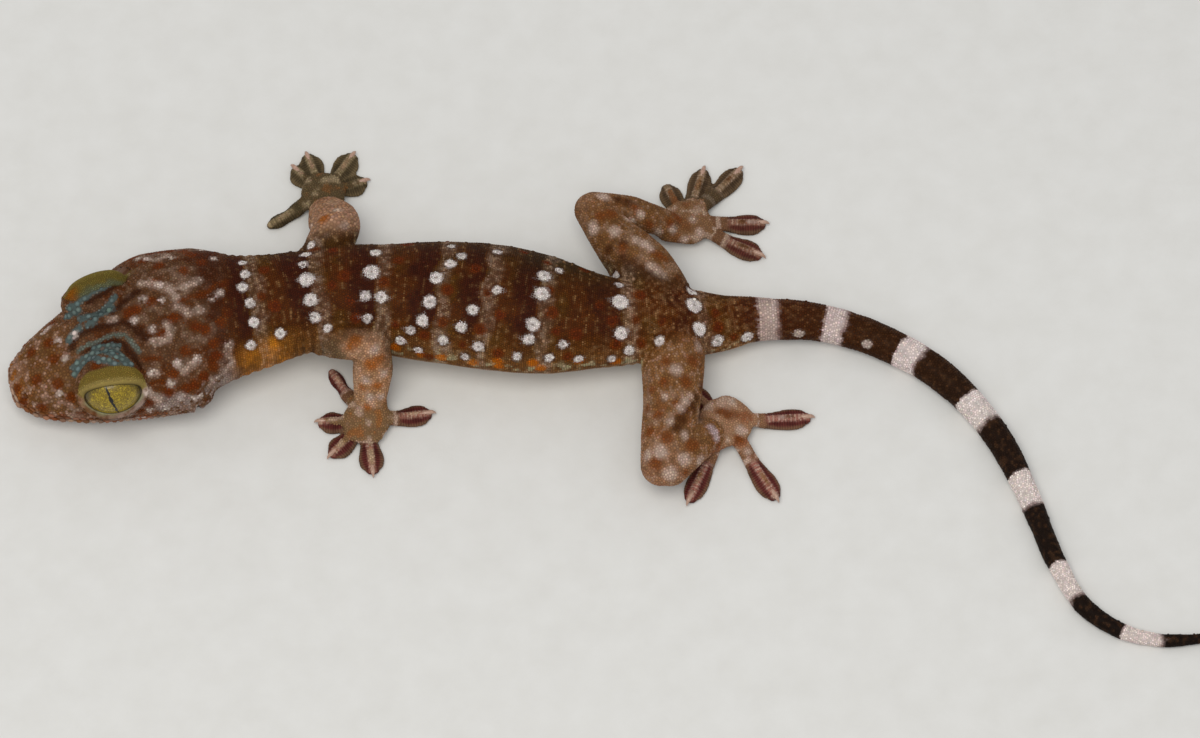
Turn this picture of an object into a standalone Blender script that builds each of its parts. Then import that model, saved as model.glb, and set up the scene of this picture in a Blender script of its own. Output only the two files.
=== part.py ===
"""A young tokay gecko at life size, lying low on its floor with its legs spread.

The head points to -X, the tail bends towards -Y, and the animal's left side faces -Y. The origin is the
middle of the whole animal's box, on the floor. All sizes below are millimetres until they reach a mesh.
"""

import math

import bmesh
import bpy
from mathutils import Matrix, Vector

MM = 0.001
GAP = 0.3  # between two neighbouring pieces
PLAN_CENTRE = (4.505, -4.06)  # the middle of the animal's box, in the plan that the lists below use

# The head, measured from the snout tip along an axis that turns away from the spine.
SNOUT = (-67.5, -4.1)
HEAD_TURN = 15.0  # degrees from +X
SNOUT_BLUNT = 0.38
MOUTH_CORNER = 16.5
JAW_SEAM = 1.2  # how far the seam under the mouth corner slopes forward

# along, sideways, half width, throat, widest level, crown, upper squareness, lower squareness
HEAD_KEYS = (
    (0.8, -0.8, 2.7, 2.2, 3.8, 5.9, 0.9, 0.9),
    (1.6, -0.8, 3.6, 1.9, 3.7, 6.6, 0.85, 0.9),
    (3.0, -0.8, 4.75, 1.6, 3.6, 7.2, 0.85, 0.9),
    (6.0, -0.65, 6.2, 1.4, 3.5, 8.3, 0.85, 0.9),
    (9.5, -0.4, 7.5, 1.2, 3.5, 9.3, 0.85, 0.9),
    (13.0, 0.05, 8.75, 1.1, 3.7, 10.1, 0.88, 0.9),
    (16.5, 0.55, 10.0, 1.1, 4.2, 10.9, 0.92, 0.9),
    (19.5, 0.85, 10.3, 1.1, 4.8, 11.3, 0.95, 0.95),
    (22.5, 0.95, 9.3, 1.2, 5.6, 11.5, 1.0, 1.0),
)

# x, y, half width, belly, widest level, back
TRUNK_KEYS = (
    (-41.7, 3.2, 7.6, 1.4, 6.0, 11.4),
    (-38.3, 3.8, 6.8, 1.5, 6.2, 11.4),
    (-34.3, 4.7, 6.2, 1.4, 6.2, 11.5),
    (-29.7, 5.3, 6.4, 1.2, 6.2, 11.7),
    (-23.8, 5.2, 6.8, 1.1, 6.1, 11.8),
    (-16.7, 4.7, 7.5, 1.1, 6.1, 11.9),
    (-11.2, 4.0, 7.7, 1.1, 6.0, 11.9),
    (-6.0, 3.3, 7.2, 1.1, 5.8, 11.3),
    (-0.7, 2.8, 5.8, 1.2, 5.4, 10.2),
    (4.6, 2.8, 4.9, 1.2, 4.9, 9.0),
    (9.8, 3.2, 4.3, 1.0, 4.1, 7.6),
    (14.0, 3.8, 3.5, 0.6, 3.1, 6.0),
)

# x, y, half width, height
TAIL_KEYS = (
    (18.2, 4.4, 2.6, 5.0),
    (25.0, 4.4, 2.2, 4.2),
    (32.3, 2.2, 2.0, 3.9),
    (39.4, -2.4, 1.8, 3.5),
    (44.8, -9.0, 1.6, 3.1),
    (48.3, -16.5, 1.4, 2.75),
    (51.5, -25.5, 1.15, 2.3),
    (54.5, -31.2, 1.05, 2.05),
    (58.8, -34.4, 0.92, 1.8),
    (63.1, -35.4, 0.8, 1.55),
    (67.5, -35.2, 0.69, 1.35),
    (72.4, -34.3, 0.52, 1.02),
    (77.0, -33.0, 0.3, 0.6),
)
TAIL_FLAT = 0.12  # how deep the floor cuts into the round tail, as a share of its half height
TAIL_LIFTED = 2  # the first tail stations still hang above the floor
TAIL_LIFT = (0.4, 0.1)

SPINE_CUTS = {  # where each length of the animal ends, as stations along the spine
    "head": 9.0,
    "neck": 11.6,
    "torso": 17.5,
    "hips": 20.8,
    "tail_1": 22.6,
    "tail_2": 24.6,
    "tail_3": 26.6,
    "tail_4": 28.6,
    "tail_5": 30.6,
    "tail_6": 33.0,
}

EYE = {
    "at": {-1: (10.95, 5.75, 7.75), 1: (12.0, 5.7, 7.85)},  # left and right: along the head, sideways, height
    "size": (3.6, 2.95, 3.1),  # half axes of the ball: along, outwards, upwards
    "raised": 27.0,  # degrees that it looks up
    "forward": 6.0,  # degrees that it looks forward
}
BROW_THICK = 0.75  # the brow is a dome over the ball, this much larger than the ball
WINDOW = {"out": 3.2, "size": (3.3, 2.2, 2.05)}  # the opening that shows the eye, along its gaze
LID = {"ring": 2.4, "thick": 0.4, "long": 1.48, "out": 2.05, "dip": 0.75}  # its ends lie deeper by the dip
EAR = {"at": (20.4, 10.55, 5.0), "size": (0.5, 1.5, 1.1)}
NOSTRIL = {"at": (1.3, 2.3, 5.2), "size": (0.42, 0.5, 0.32)}
MOUTH_LINE = ((-1.8, 3.75), (1.0, 3.7), (4.0, 3.45), (8.0, 3.3), (12.0, 3.2), (14.5, 3.35), (16.5, 3.9))
LIP_THICK = 0.36

# Arms and legs: x, y, z, half width, half height at each station
LIMBS = {
    "left": {
        "upper_arm": ((-33.8, 1.2, 6.2, 2.4, 2.3), (-29.6, -0.9, 7.8, 2.3, 2.1), (-26.2, -2.0, 8.9, 2.0, 1.9)),
        "forearm": ((-25.8, -1.9, 8.8, 2.0, 1.9), (-25.9, -3.6, 5.8, 2.3, 1.8), (-26.3, -5.6, 2.5, 1.9, 1.4)),
        "thigh": ((8.4, 1.6, 4.8, 3.8, 3.0), (8.3, -5.0, 5.2, 3.5, 2.9), (7.8, -10.6, 4.8, 3.1, 2.6),
                  (7.0, -15.2, 4.2, 2.4, 2.2)),
        "shin": ((7.6, -15.1, 4.15, 2.55, 2.15), (9.95, -12.75, 3.85, 2.5, 1.95), (12.4, -10.1, 2.6, 2.0, 1.5)),
    },
    "right": {
        "upper_arm": ((-33.6, 8.0, 6.0, 2.4, 2.3), (-31.6, 11.0, 7.0, 2.6, 2.3), (-30.4, 13.4, 7.3, 2.7, 2.2)),
        "forearm": ((-30.3, 13.7, 7.1, 2.7, 2.2), (-30.8, 16.4, 5.0, 2.9, 2.0), (-31.7, 19.3, 2.4, 2.1, 1.3)),
        "thigh": ((8.0, 3.8, 4.9, 3.7, 3.0), (5.0, 9.2, 5.6, 3.7, 2.9), (1.2, 14.2, 5.7, 2.7, 2.5),
                  (-1.0, 17.4, 5.3, 2.1, 2.1)),
        "shin": ((-0.8, 17.6, 5.2, 2.1, 2.0), (3.6, 17.6, 4.3, 2.1, 1.8), (7.8, 17.2, 2.5, 1.7, 1.4)),
    },
}

# Each hand and foot: wrist, palm centre, half width of the palm, length and half width of a pad, toe tips
FEET = {
    "hand_left": {
        "wrist": (-26.3, -5.4), "palm": (-26.7, -7.9), "wide": 2.8, "pad": 3.6, "lobe": 1.4,
        "toes": ((-31.0, -0.9), (-32.8, -7.6), (-31.2, -12.4), (-25.8, -14.8), (-18.7, -6.4)),
    },
    "hand_right": {
        "wrist": (-31.7, 19.2), "palm": (-32.2, 22.0), "wide": 2.7, "pad": 3.5, "lobe": 1.5,
        "toes": ((-38.6, 18.0), (-36.2, 26.3), (-34.5, 28.1), (-28.5, 28.1), (-26.7, 24.3)),
    },
    "foot_left": {
        "wrist": (12.6, -10.0), "palm": (14.4, -8.0), "wide": 3.3, "pad": 5.0, "lobe": 1.35,
        "toes": ((10.4, -3.5), (7.9, -6.7), (9.8, -18.4), (20.4, -18.0), (24.7, -7.0)),
    },
    "foot_right": {
        "wrist": (7.9, 17.2), "palm": (10.0, 18.0), "wide": 3.0, "pad": 4.2, "lobe": 1.35,
        "toes": ((7.7, 23.4), (12.3, 26.2), (16.8, 26.1), (19.8, 18.4), (19.3, 13.8)),
    },
}
PALM_HEIGHT = 1.35
TOE = {"neck": 0.78, "thick": 0.72, "ridge": 0.42, "ridge_top": 1.25, "flat": 0.12, "root_height": 1.3}
CLAW = {"out": 0.75, "in": 0.9, "wide": 0.28, "tall": 0.34, "height": 0.72}
CLAWLESS_TOE = 0  # the innermost toe of each hand and foot has no claw

COLOURS = {
    "skin_brown": ((0.115, 0.045, 0.02), 0.5),
    "tail_banded": ((0.16, 0.11, 0.09), 0.55),
    "leg_tan": ((0.27, 0.13, 0.07), 0.5),
    "toe_maroon": ((0.12, 0.05, 0.04), 0.45),
    "eye_gold": ((0.42, 0.30, 0.04), 0.12),
}


class Profile:
    """A smooth run of sections: centre, half width, rise, drop, and the squareness of both halves."""

    def __init__(self, keys):
        self.keys = [list(key) for key in keys]
        self.last = len(keys) - 1

    def at(self, place):
        """The values at a station number, which may lie between two stations."""
        place = min(max(place, 0.0), float(self.last))
        low = min(int(place), self.last - 1)
        part = place - low
        before, start = self.keys[max(low - 1, 0)], self.keys[low]
        end, after = self.keys[low + 1], self.keys[min(low + 2, self.last)]
        values = []
        for a, b, c, d in zip(before, start, end, after):
            leave = (c - a) / 2
            arrive = (d - b) / 2
            values.append(
                b
                + leave * part
                + (3 * (c - b) - 2 * leave - arrive) * part**2
                + (2 * (b - c) + leave + arrive) * part**3
            )
        return values

    def direction(self, place):
        step = 0.02
        ahead, behind = self.at(place + step), self.at(place - step)
        return (Vector(ahead[:3]) - Vector(behind[:3])).normalized()


def section_point(values, ahead, angle, grow, floor):
    """A point of one section. grow adds to its half sizes, and floor is the lowest level it may reach."""
    x, y, z, wide, rise, drop, upper, lower = values
    side = Vector((0, 0, 1)).cross(ahead).normalized()
    up = ahead.cross(side)
    across, height = math.cos(angle), math.sin(angle)
    power = upper if height > 0 else lower
    tall = (rise if height > 0 else drop) + grow
    across = math.copysign(abs(across) ** power, across) * (wide + grow)
    height = math.copysign(abs(height) ** power, height) * tall
    point = Vector((x, y, z)) + side * across + up * height
    if floor is not None:
        point.z = max(point.z, floor)
    return point


def rounded_end(values, ahead, rings, bluntness):
    """Shrinking copies of a section that close a limb or the snout with a dome."""
    reach = (values[3] + values[4] + values[5]) / 3 * bluntness
    made = []
    for ring in range(1, rings + 1):
        turn = math.radians(90) * ring / (rings + 0.45)
        shrunk = list(values)
        centre = Vector(values[:3]) + ahead * reach * math.sin(turn)
        shrunk[:3] = centre
        shrunk[3:6] = [size * math.cos(turn) for size in values[3:6]]
        made.append(shrunk)
    return made


def loft(name, profile, places, sides, grow=0.0, floor=None, round_start=0, round_end=0, blunt=1.0):
    """A closed mesh object through the profile's sections at these stations."""
    sections = [(profile.at(p), profile.direction(p)) for p in places]
    first, first_way = sections[0]
    last, last_way = sections[-1]
    nose = [(values, first_way) for values in rounded_end(first, -first_way, round_start, blunt)]
    heel = [(values, last_way) for values in rounded_end(last, last_way, round_end, 1.0)]
    sections = nose[::-1] + sections + heel
    mesh = bmesh.new()
    turn = mesh.verts.layers.float.new("turn")
    ring = bmesh.ops.create_circle(mesh, segments=sides, radius=1.0)["verts"]
    for corner in ring:
        corner[turn] = math.atan2(corner.co.y, corner.co.x)
    edges = list(mesh.edges)
    place_ring(ring, turn, sections[0], grow, floor)
    for section in sections[1:]:
        made = bmesh.ops.extrude_edge_only(mesh, edges=edges)["geom"]
        ring = [part for part in made if isinstance(part, bmesh.types.BMVert)]
        edges = [part for part in made if isinstance(part, bmesh.types.BMEdge)]
        place_ring(ring, turn, section, grow, floor)
    bmesh.ops.holes_fill(mesh, edges=mesh.edges, sides=0)
    bmesh.ops.recalc_face_normals(mesh, faces=mesh.faces)
    return finished(name, mesh)


def place_ring(ring, turn, section, grow, floor):
    values, ahead = section
    for corner in ring:
        corner.co = section_point(values, ahead, corner[turn], grow, floor)


def finished(name, mesh):
    """A mesh object at its place, in metres, with the plan's middle moved to the origin."""
    shift = Matrix.Translation((-PLAN_CENTRE[0] * MM, -PLAN_CENTRE[1] * MM, 0))
    bmesh.ops.transform(mesh, matrix=shift @ Matrix.Scale(MM, 4), verts=mesh.verts)
    data = bpy.data.meshes.new(name)
    mesh.to_mesh(data)
    mesh.free()
    made = bpy.data.objects.new(name, data)
    bpy.context.scene.collection.objects.link(made)
    return made


def spread(start, end, count):
    """count stations from start to end, both included."""
    return [start + (end - start) * step / (count - 1) for step in range(count)]


def ellipsoid(name, centre, size, turn=None, across=16, down=8):
    """A ball with three half axes, turned by a matrix."""
    mesh = bmesh.new()
    bmesh.ops.create_uvsphere(mesh, u_segments=across, v_segments=down, radius=1.0)
    shape = Matrix.Diagonal((*size, 1.0))
    turn = turn.to_4x4() if turn else Matrix.Identity(4)
    bmesh.ops.transform(mesh, matrix=Matrix.Translation(centre) @ turn @ shape, verts=mesh.verts)
    return finished(name, mesh)


def mesh_of(obj):
    """Replaces an object's mesh with its evaluated one and drops its modifiers."""
    bpy.context.view_layer.update()
    evaluated = obj.evaluated_get(bpy.context.evaluated_depsgraph_get())
    data = bpy.data.meshes.new_from_object(evaluated)
    obj.modifiers.clear()
    obj.data = data
    return obj


def keep_largest(obj):
    """Leaves only the largest closed surface of a mesh."""
    mesh = bmesh.new()
    mesh.from_mesh(obj.data)
    bmesh.ops.remove_doubles(mesh, verts=mesh.verts, dist=0.002 * MM)
    left = set(mesh.verts)
    shells = []
    while left:
        shell, front = set(), [left.pop()]
        while front:
            corner = front.pop()
            shell.add(corner)
            for edge in corner.link_edges:
                other = edge.other_vert(corner)
                if other in left:
                    left.remove(other)
                    front.append(other)
        shells.append(shell)
    shells.sort(key=len)
    for shell in shells[:-1]:
        bmesh.ops.delete(mesh, geom=list(shell), context="VERTS")
    mesh.to_mesh(obj.data)
    mesh.free()
    return obj


def fused(base, others):
    """Joins closed pieces to base with one Boolean union on their collection, then removes them."""
    group = bpy.data.collections.new(base.name + "_pieces")
    for piece in others:
        group.objects.link(piece)
    union = base.modifiers.new("union", "BOOLEAN")
    union.operation = "UNION"
    union.operand_type = "COLLECTION"
    union.collection = group
    union.solver = "EXACT"
    mesh_of(base)
    for piece in others:
        bpy.data.objects.remove(piece)
    bpy.data.collections.remove(group)
    return keep_largest(base)


def carved(base, cutters, operation="DIFFERENCE"):
    """Cuts base with each cutter, then removes the cutters."""
    for cutter in cutters:
        cut = base.modifiers.new("cut", "BOOLEAN")
        cut.operation = operation
        cut.object = cutter
        cut.solver = "EXACT"
    mesh_of(base)
    for cutter in cutters:
        bpy.data.objects.remove(cutter)
    return keep_largest(base)


def head_axis():
    turn = math.radians(HEAD_TURN)
    return Vector((math.cos(turn), math.sin(turn), 0))


def head_point(along, sideways, height):
    """A place on the head: along its axis, sideways towards +Y, and above the floor."""
    axis = head_axis()
    side = Vector((0, 0, 1)).cross(axis)
    return Vector((*SNOUT, 0)) + axis * along + side * sideways + Vector((0, 0, height))


def midline(along):
    """How far the middle of the head stands off its straight axis at a distance from the snout."""
    near = HEAD_KEYS[0]
    for key in HEAD_KEYS[1:]:
        if along <= key[0]:
            part = max(along - near[0], 0) / (key[0] - near[0])
            return near[1] + (key[1] - near[1]) * part
        near = key
    return near[1]


def spine_profile():
    """The head, the trunk and the tail as one run of sections, from the snout to the tail tip."""
    keys = []
    for along, sideways, wide, low, level, high, upper, lower in HEAD_KEYS:
        centre = head_point(along, sideways, level)
        keys.append((*centre, wide, high - level, level - low, upper, lower))
    for x, y, wide, low, level, high in TRUNK_KEYS:
        keys.append((x, y, level, wide, high - level, level - low, 1.0, 1.0))
    for number, (x, y, wide, tall) in enumerate(TAIL_KEYS):
        lift = TAIL_LIFT[number] if number < TAIL_LIFTED else -TAIL_FLAT * tall / 2
        keys.append((x, y, tall / 2 + lift, wide, tall / 2, tall / 2, 1.0, 1.0))
    return Profile(keys)


def limb_profile(stations):
    return Profile([(x, y, z, wide, tall, tall, 1.0, 1.0) for x, y, z, wide, tall in stations])


def spine_pieces(spine):
    """The lengths of the animal, parted square to the spine."""
    rings = {"head": 20, "neck": 5, "torso": 14, "hips": 6}
    made = {}
    start = 0.0
    for name, end in SPINE_CUTS.items():
        here = (Vector(spine.at(end + 0.05)[:3]) - Vector(spine.at(end - 0.05)[:3])).length / 0.1
        half = GAP / 2 / here
        places = spread(start, min(end - half, spine.last), rings.get(name, 8))
        sides = 26 if name in ("head", "neck", "torso", "hips") else 14
        made[name] = loft(
            name, spine, places, sides, floor=0.0,
            round_start=3 if name == "head" else 0,
            round_end=2 if name == "tail_6" else 0,
            blunt=SNOUT_BLUNT,
        )
        start = end + half
    return made


def eye_turn(side):
    """The turn that carries a ball's own sideways axis to where this eye looks."""
    yaw = math.radians(HEAD_TURN + side * EYE["forward"])
    tilt = math.radians(side * EYE["raised"])
    return Matrix.Rotation(yaw, 3, "Z") @ Matrix.Rotation(tilt, 3, "X")


def sided(place, side):
    along, sideways, height = place
    return head_point(along, midline(along) + side * sideways, height)


def lid_ring(name, side):
    """The raised rim round the eye, a ring longer than tall that follows the brow's dome."""
    mesh = bmesh.new()
    sides, around = 20, 6
    turned = Matrix.Rotation(math.radians(90), 4, "X")
    profile = bmesh.ops.create_circle(mesh, segments=around, radius=LID["thick"])["verts"]
    bmesh.ops.translate(mesh, vec=(LID["ring"], 0, 0), verts=profile)
    bmesh.ops.rotate(
        mesh, cent=(LID["ring"], 0, 0), matrix=Matrix.Rotation(math.radians(90), 3, "X"), verts=profile
    )
    bmesh.ops.spin(
        mesh, geom=mesh.verts[:] + mesh.edges[:], cent=(0, 0, 0), axis=(0, 0, 1),
        angle=math.radians(360), steps=sides, use_merge=True,
    )
    bmesh.ops.transform(mesh, matrix=turned, verts=mesh.verts)
    bmesh.ops.scale(mesh, vec=(LID["long"], 1, 1), verts=mesh.verts)
    for corner in mesh.verts:
        corner.co.y += side * (LID["out"] + LID["dip"] * (corner.co.z / LID["ring"]) ** 2)
    place = Matrix.Translation(sided(EYE["at"][side], side)) @ eye_turn(side).to_4x4()
    bmesh.ops.transform(mesh, matrix=place, verts=mesh.verts)
    bmesh.ops.recalc_face_normals(mesh, faces=mesh.faces)
    return finished(name, mesh)


def mouth_height(along):
    """The level of the mouth line at a distance from the snout."""
    for (start, low), (end, high) in zip(MOUTH_LINE, MOUTH_LINE[1:]):
        if along <= end:
            return low + (high - low) * max(along - start, 0) / (end - start)
    return MOUTH_LINE[-1][1]


def head_half_width(spine, along, height):
    """How far the head's side stands out at this distance from the snout and this level."""
    place = 0.0
    while place < len(HEAD_KEYS) - 1 and key_along(spine, place) < along:
        place += 0.02
    values = spine.at(place)
    reach = values[4] if height > values[2] else values[5]
    power = values[6] if height > values[2] else values[7]
    share = min(abs(height - values[2]) / reach, 0.98)
    angle = math.asin(share ** (1 / power))
    return values[3] * math.cos(angle) ** power


def key_along(spine, place):
    return (Vector(spine.at(place)[:3]) - head_point(0, 0, 0)).dot(head_axis())


def lip_bead(spine):
    """A bead that follows the mouth round the snout, which the mouth's cut parts into two lips."""
    reach = [MOUTH_CORNER - 0.6, 13.5, 10.0, 6.5, 4.0, 2.2, 1.1]
    right = [(along, head_half_width(spine, along, mouth_height(along)) - 0.12) for along in reach]
    right[0] = (right[0][0], right[0][1] - 0.5)
    tip = [(0.05, 1.5), (-0.2, 0.0), (0.05, -1.5)]
    path = right + tip + [(along, -side) for along, side in right[::-1]]
    curve = bpy.data.curves.new("lip", "CURVE")
    curve.dimensions = "3D"
    curve.bevel_depth = LIP_THICK * MM
    curve.bevel_resolution = 1
    curve.use_fill_caps = True
    line = curve.splines.new("POLY")
    line.points.add(len(path) - 1)
    for point, (along, side) in zip(line.points, path):
        spot = head_point(along, midline(along) + side, mouth_height(along)) - Vector((*PLAN_CENTRE, 0))
        point.co = (*(spot * MM), 1)
    drawn = bpy.data.objects.new("lip", curve)
    bpy.context.scene.collection.objects.link(drawn)
    bpy.context.view_layer.update()
    data = bpy.data.meshes.new_from_object(drawn.evaluated_get(bpy.context.evaluated_depsgraph_get()))
    bpy.data.objects.remove(drawn)
    mesh = bmesh.new()
    mesh.from_mesh(data)
    bmesh.ops.remove_doubles(mesh, verts=mesh.verts, dist=0.01 * MM)
    bmesh.ops.recalc_face_normals(mesh, faces=mesh.faces)
    mesh.to_mesh(data)
    mesh.free()
    bead = bpy.data.objects.new("lip_bead", data)
    bpy.context.scene.collection.objects.link(bead)
    return bead


def jaw_block(name, grow):
    """The space under the mouth line, as a block right across the head. grow raises and lengthens it."""
    half = 14.0
    line = [(along, height + grow) for along, height in MOUTH_LINE]
    end = line[-1]
    outline = line[:-1] + [
        (end[0] + grow, end[1]),
        (end[0] + grow - JAW_SEAM, -1.0),
        (line[0][0], -1.0),
    ]
    mesh = bmesh.new()
    corners = [mesh.verts.new(head_point(along, -half, height)) for along, height in outline]
    face = mesh.faces.new(corners)
    made = bmesh.ops.extrude_face_region(mesh, geom=[face])["geom"]
    far = [part for part in made if isinstance(part, bmesh.types.BMVert)]
    bmesh.ops.translate(mesh, vec=head_point(0, half, 0) - head_point(0, -half, 0), verts=far)
    bmesh.ops.recalc_face_normals(mesh, faces=mesh.faces)
    return finished(name, mesh)


def finish_head(spine, made):
    """Adds brows, lids and lips to the head, cuts its openings, and parts the lower jaw from it."""
    head = made["head"]
    extras = [lip_bead(spine)]
    for side in (-1, 1):
        dome = [size + BROW_THICK for size in EYE["size"]]
        extras.append(ellipsoid("brow", sided(EYE["at"][side], side), dome, eye_turn(side), 18, 10))
    fused(head, extras)
    fused(head, [lid_ring("lid", side) for side in (-1, 1)])
    cutters = []
    for side in (-1, 1):
        for hole in (EAR, NOSTRIL):
            turn = Matrix.Rotation(math.radians(HEAD_TURN), 3, "Z")
            cutters.append(ellipsoid("hole", sided(hole["at"], side), hole["size"], turn, 12, 8))
        socket = [size + GAP for size in EYE["size"]]
        cutters.append(ellipsoid("socket", sided(EYE["at"][side], side), socket, eye_turn(side), 20, 12))
        gaze = eye_turn(side) @ Vector((0, side * WINDOW["out"], 0))
        window = sided(EYE["at"][side], side) + gaze
        cutters.append(ellipsoid("window", window, WINDOW["size"], eye_turn(side), 18, 10))
    carved(head, cutters)
    jaw = bpy.data.objects.new("jaw", head.data.copy())
    bpy.context.scene.collection.objects.link(jaw)
    made["jaw"] = carved(jaw, [jaw_block("under_mouth", -GAP)], "INTERSECT")
    carved(head, [jaw_block("under_mouth", 0.0)])
    for side, name in ((-1, "eye_left"), (1, "eye_right")):
        made[name] = ellipsoid(name, sided(EYE["at"][side], side), EYE["size"], eye_turn(side), 20, 12)


def limb_piece(name, stations, against):
    """A length of an arm or leg, with round ends, cut clear of what it grows from."""
    profile = limb_profile(stations)
    places = spread(0, profile.last, 3 * profile.last + 1)
    piece = loft(name, profile, places, 12, round_start=2, round_end=2)
    return carved(piece, against)


def grown_limb(stations):
    profile = limb_profile(stations)
    places = spread(0, profile.last, 3 * profile.last + 1)
    return loft("grown", profile, places, 12, grow=GAP, round_start=2, round_end=2)


def grown_spine(spine, start, end):
    return loft("grown", spine, spread(start, end, 3 * int(end - start) + 1), 28, grow=GAP, floor=-1.0)


def toe_profile(root, tip, pad_length, lobe):
    """A toe from inside the palm to the end of its pad, which lies flat on the floor."""
    along = tip - root
    pad = min(pad_length / along.length, 0.7)
    neck, half = TOE["neck"], TOE["thick"] / 2
    high = TOE["root_height"]
    deep = half + TOE["flat"]
    shape = (
        (0.0, high, neck, 0.62, 0.62),
        (0.55 * (1 - pad), high - 0.1, neck, 0.6, 0.6),
        (1 - pad, 0.7, neck + 0.1, 0.5, 0.6),
        (1 - 0.7 * pad, half, 0.85 * lobe, half, deep),
        (1 - 0.4 * pad, half, lobe, half, deep),
        (1 - 0.14 * pad, half, 0.88 * lobe, half, deep),
        (1.0, half, 0.55 * lobe, half, deep),
    )
    keys = []
    for share, z, wide, rise, drop in shape:
        spot = root + along * share
        keys.append((spot.x, spot.y, z, wide, rise, drop, 0.8, 0.8))
    return Profile(keys)


def ridge_profile(root, tip, pad_length):
    """The last joint of a toe, a narrow ridge along the middle of its pad."""
    along = tip - root
    pad = min(pad_length / along.length, 0.7)
    wide, top = TOE["ridge"], TOE["ridge_top"]
    shape = ((1 - 1.1 * pad, 1.0, 0.5), (1 - 0.7 * pad, 1.0, 0.45), (1 - 0.3 * pad, 0.9, 0.4), (0.98, 0.75, 0.3))
    keys = []
    for share, size, rise in shape:
        spot = root + along * share
        keys.append((spot.x, spot.y, top * size - rise, wide * size, rise, rise, 1.0, 1.0))
    return Profile(keys)


def claw_profile(end, ahead):
    """A small hooked claw that leaves the end of the ridge and comes down beyond the pad."""
    shape = ((-CLAW["in"], 0.0, 1.0), (0.0, 0.06, 0.95), (0.45 * CLAW["out"], -0.06, 0.75), (0.8 * CLAW["out"], -0.3, 0.4))
    keys = []
    for out, sink, size in shape:
        spot = end + ahead * out
        tall = CLAW["tall"] * size
        keys.append((spot.x, spot.y, CLAW["height"] + sink, CLAW["wide"] * size, tall, tall, 1.0, 1.0))
    return Profile(keys)


def foot(name, shape, against):
    """A palm with its five toes and their claws, fused into one piece."""
    wrist, palm = Vector((*shape["wrist"], 0)), Vector((*shape["palm"], 0))
    ahead = (palm - wrist).normalized()
    wide = shape["wide"]
    keys = (
        (*(wrist - ahead * 0.6)[:2], PALM_HEIGHT + 0.7, 0.66 * wide, 1.1, 1.0, 1.0, 1.0),
        (*wrist[:2], PALM_HEIGHT + 0.5, 0.72 * wide, 1.1, 1.1, 1.0, 1.0),
        (*palm[:2], PALM_HEIGHT, wide, 1.05, 1.05, 1.0, 1.0),
        (*(palm + ahead * 0.5 * wide)[:2], PALM_HEIGHT - 0.1, 0.85 * wide, 0.85, 0.95, 1.0, 1.0),
    )
    profile = Profile(keys)
    base = loft(name, profile, spread(0, profile.last, 6), 12, floor=0.2, round_start=1, round_end=2)
    pieces = []
    for number, end in enumerate(shape["toes"]):
        tip = Vector((*end, 0))
        way = (tip - palm).normalized()
        root = palm + way * 0.35 * wide
        clawed = number != CLAWLESS_TOE
        pad_end = tip - way * ((CLAW["out"] if clawed else 0) + 0.3)
        toe = toe_profile(root, pad_end, shape["pad"], shape["lobe"])
        ridge = ridge_profile(root, pad_end, shape["pad"])
        pieces.append(loft("toe", toe, spread(0, toe.last, 7), 8, floor=0.0, round_end=1))
        pieces.append(loft("ridge", ridge, spread(0, ridge.last, 4), 6))
        if clawed:
            claw = claw_profile(pad_end + way * 0.3, way)
            pieces.append(loft("claw", claw, spread(0, claw.last, 4), 5, round_end=1))
    fused(base, pieces)
    return carved(base, against)


def paint(obj, name):
    """Gives an object its material, made once."""
    colour, roughness = COLOURS[name]
    material = bpy.data.materials.get(name)
    if material is None:
        material = bpy.data.materials.new(name)
        material.use_nodes = True
        shader = material.node_tree.nodes["Principled BSDF"]
        shader.inputs["Base Color"].default_value = (*colour, 1)
        shader.inputs["Roughness"].default_value = roughness
        shader.inputs["Metallic"].default_value = 0.0
    obj.data.materials.clear()
    obj.data.materials.append(material)


def material_of(name):
    if name.startswith("eye"):
        return "eye_gold"
    if name.startswith("tail"):
        return "tail_banded"
    if name.startswith(("hand", "foot")):
        return "toe_maroon"
    if "arm" in name or "thigh" in name or "shin" in name:
        return "leg_tan"
    return "skin_brown"


def main():
    for old in list(bpy.data.objects):
        bpy.data.objects.remove(old)
    spine = spine_profile()
    made = spine_pieces(spine)
    finish_head(spine, made)
    for side, bones in LIMBS.items():
        trunk = [grown_spine(spine, 9.0, 16.0)]
        made["upper_arm_" + side] = limb_piece("upper_arm_" + side, bones["upper_arm"], trunk)
        made["forearm_" + side] = limb_piece(
            "forearm_" + side, bones["forearm"], [grown_limb(bones["upper_arm"]), grown_spine(spine, 9.0, 16.0)]
        )
        made["thigh_" + side] = limb_piece("thigh_" + side, bones["thigh"], [grown_spine(spine, 15.0, 22.0)])
        made["shin_" + side] = limb_piece(
            "shin_" + side, bones["shin"], [grown_limb(bones["thigh"]), grown_spine(spine, 15.0, 22.0)]
        )
    for name, shape in FEET.items():
        kind, side = name.split("_")
        bone = "forearm" if kind == "hand" else "shin"
        above = "upper_arm" if kind == "hand" else "thigh"
        against = [grown_limb(LIMBS[side][bone]), grown_limb(LIMBS[side][above])]
        made[name] = foot(name, shape, against)
    body = bpy.data.collections.new("tokay_gecko")
    bpy.context.scene.collection.children.link(body)
    for name, obj in made.items():
        paint(obj, material_of(name))
        obj.data.shade_smooth()
        obj.data.set_sharp_from_angle(angle=math.radians(50))
        bpy.context.scene.collection.objects.unlink(obj)
        body.objects.link(obj)


main()
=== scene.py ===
import math

import bmesh
import bpy
import numpy as np
from mathutils import Matrix, Vector
from mathutils.bvhtree import BVHTree


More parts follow.
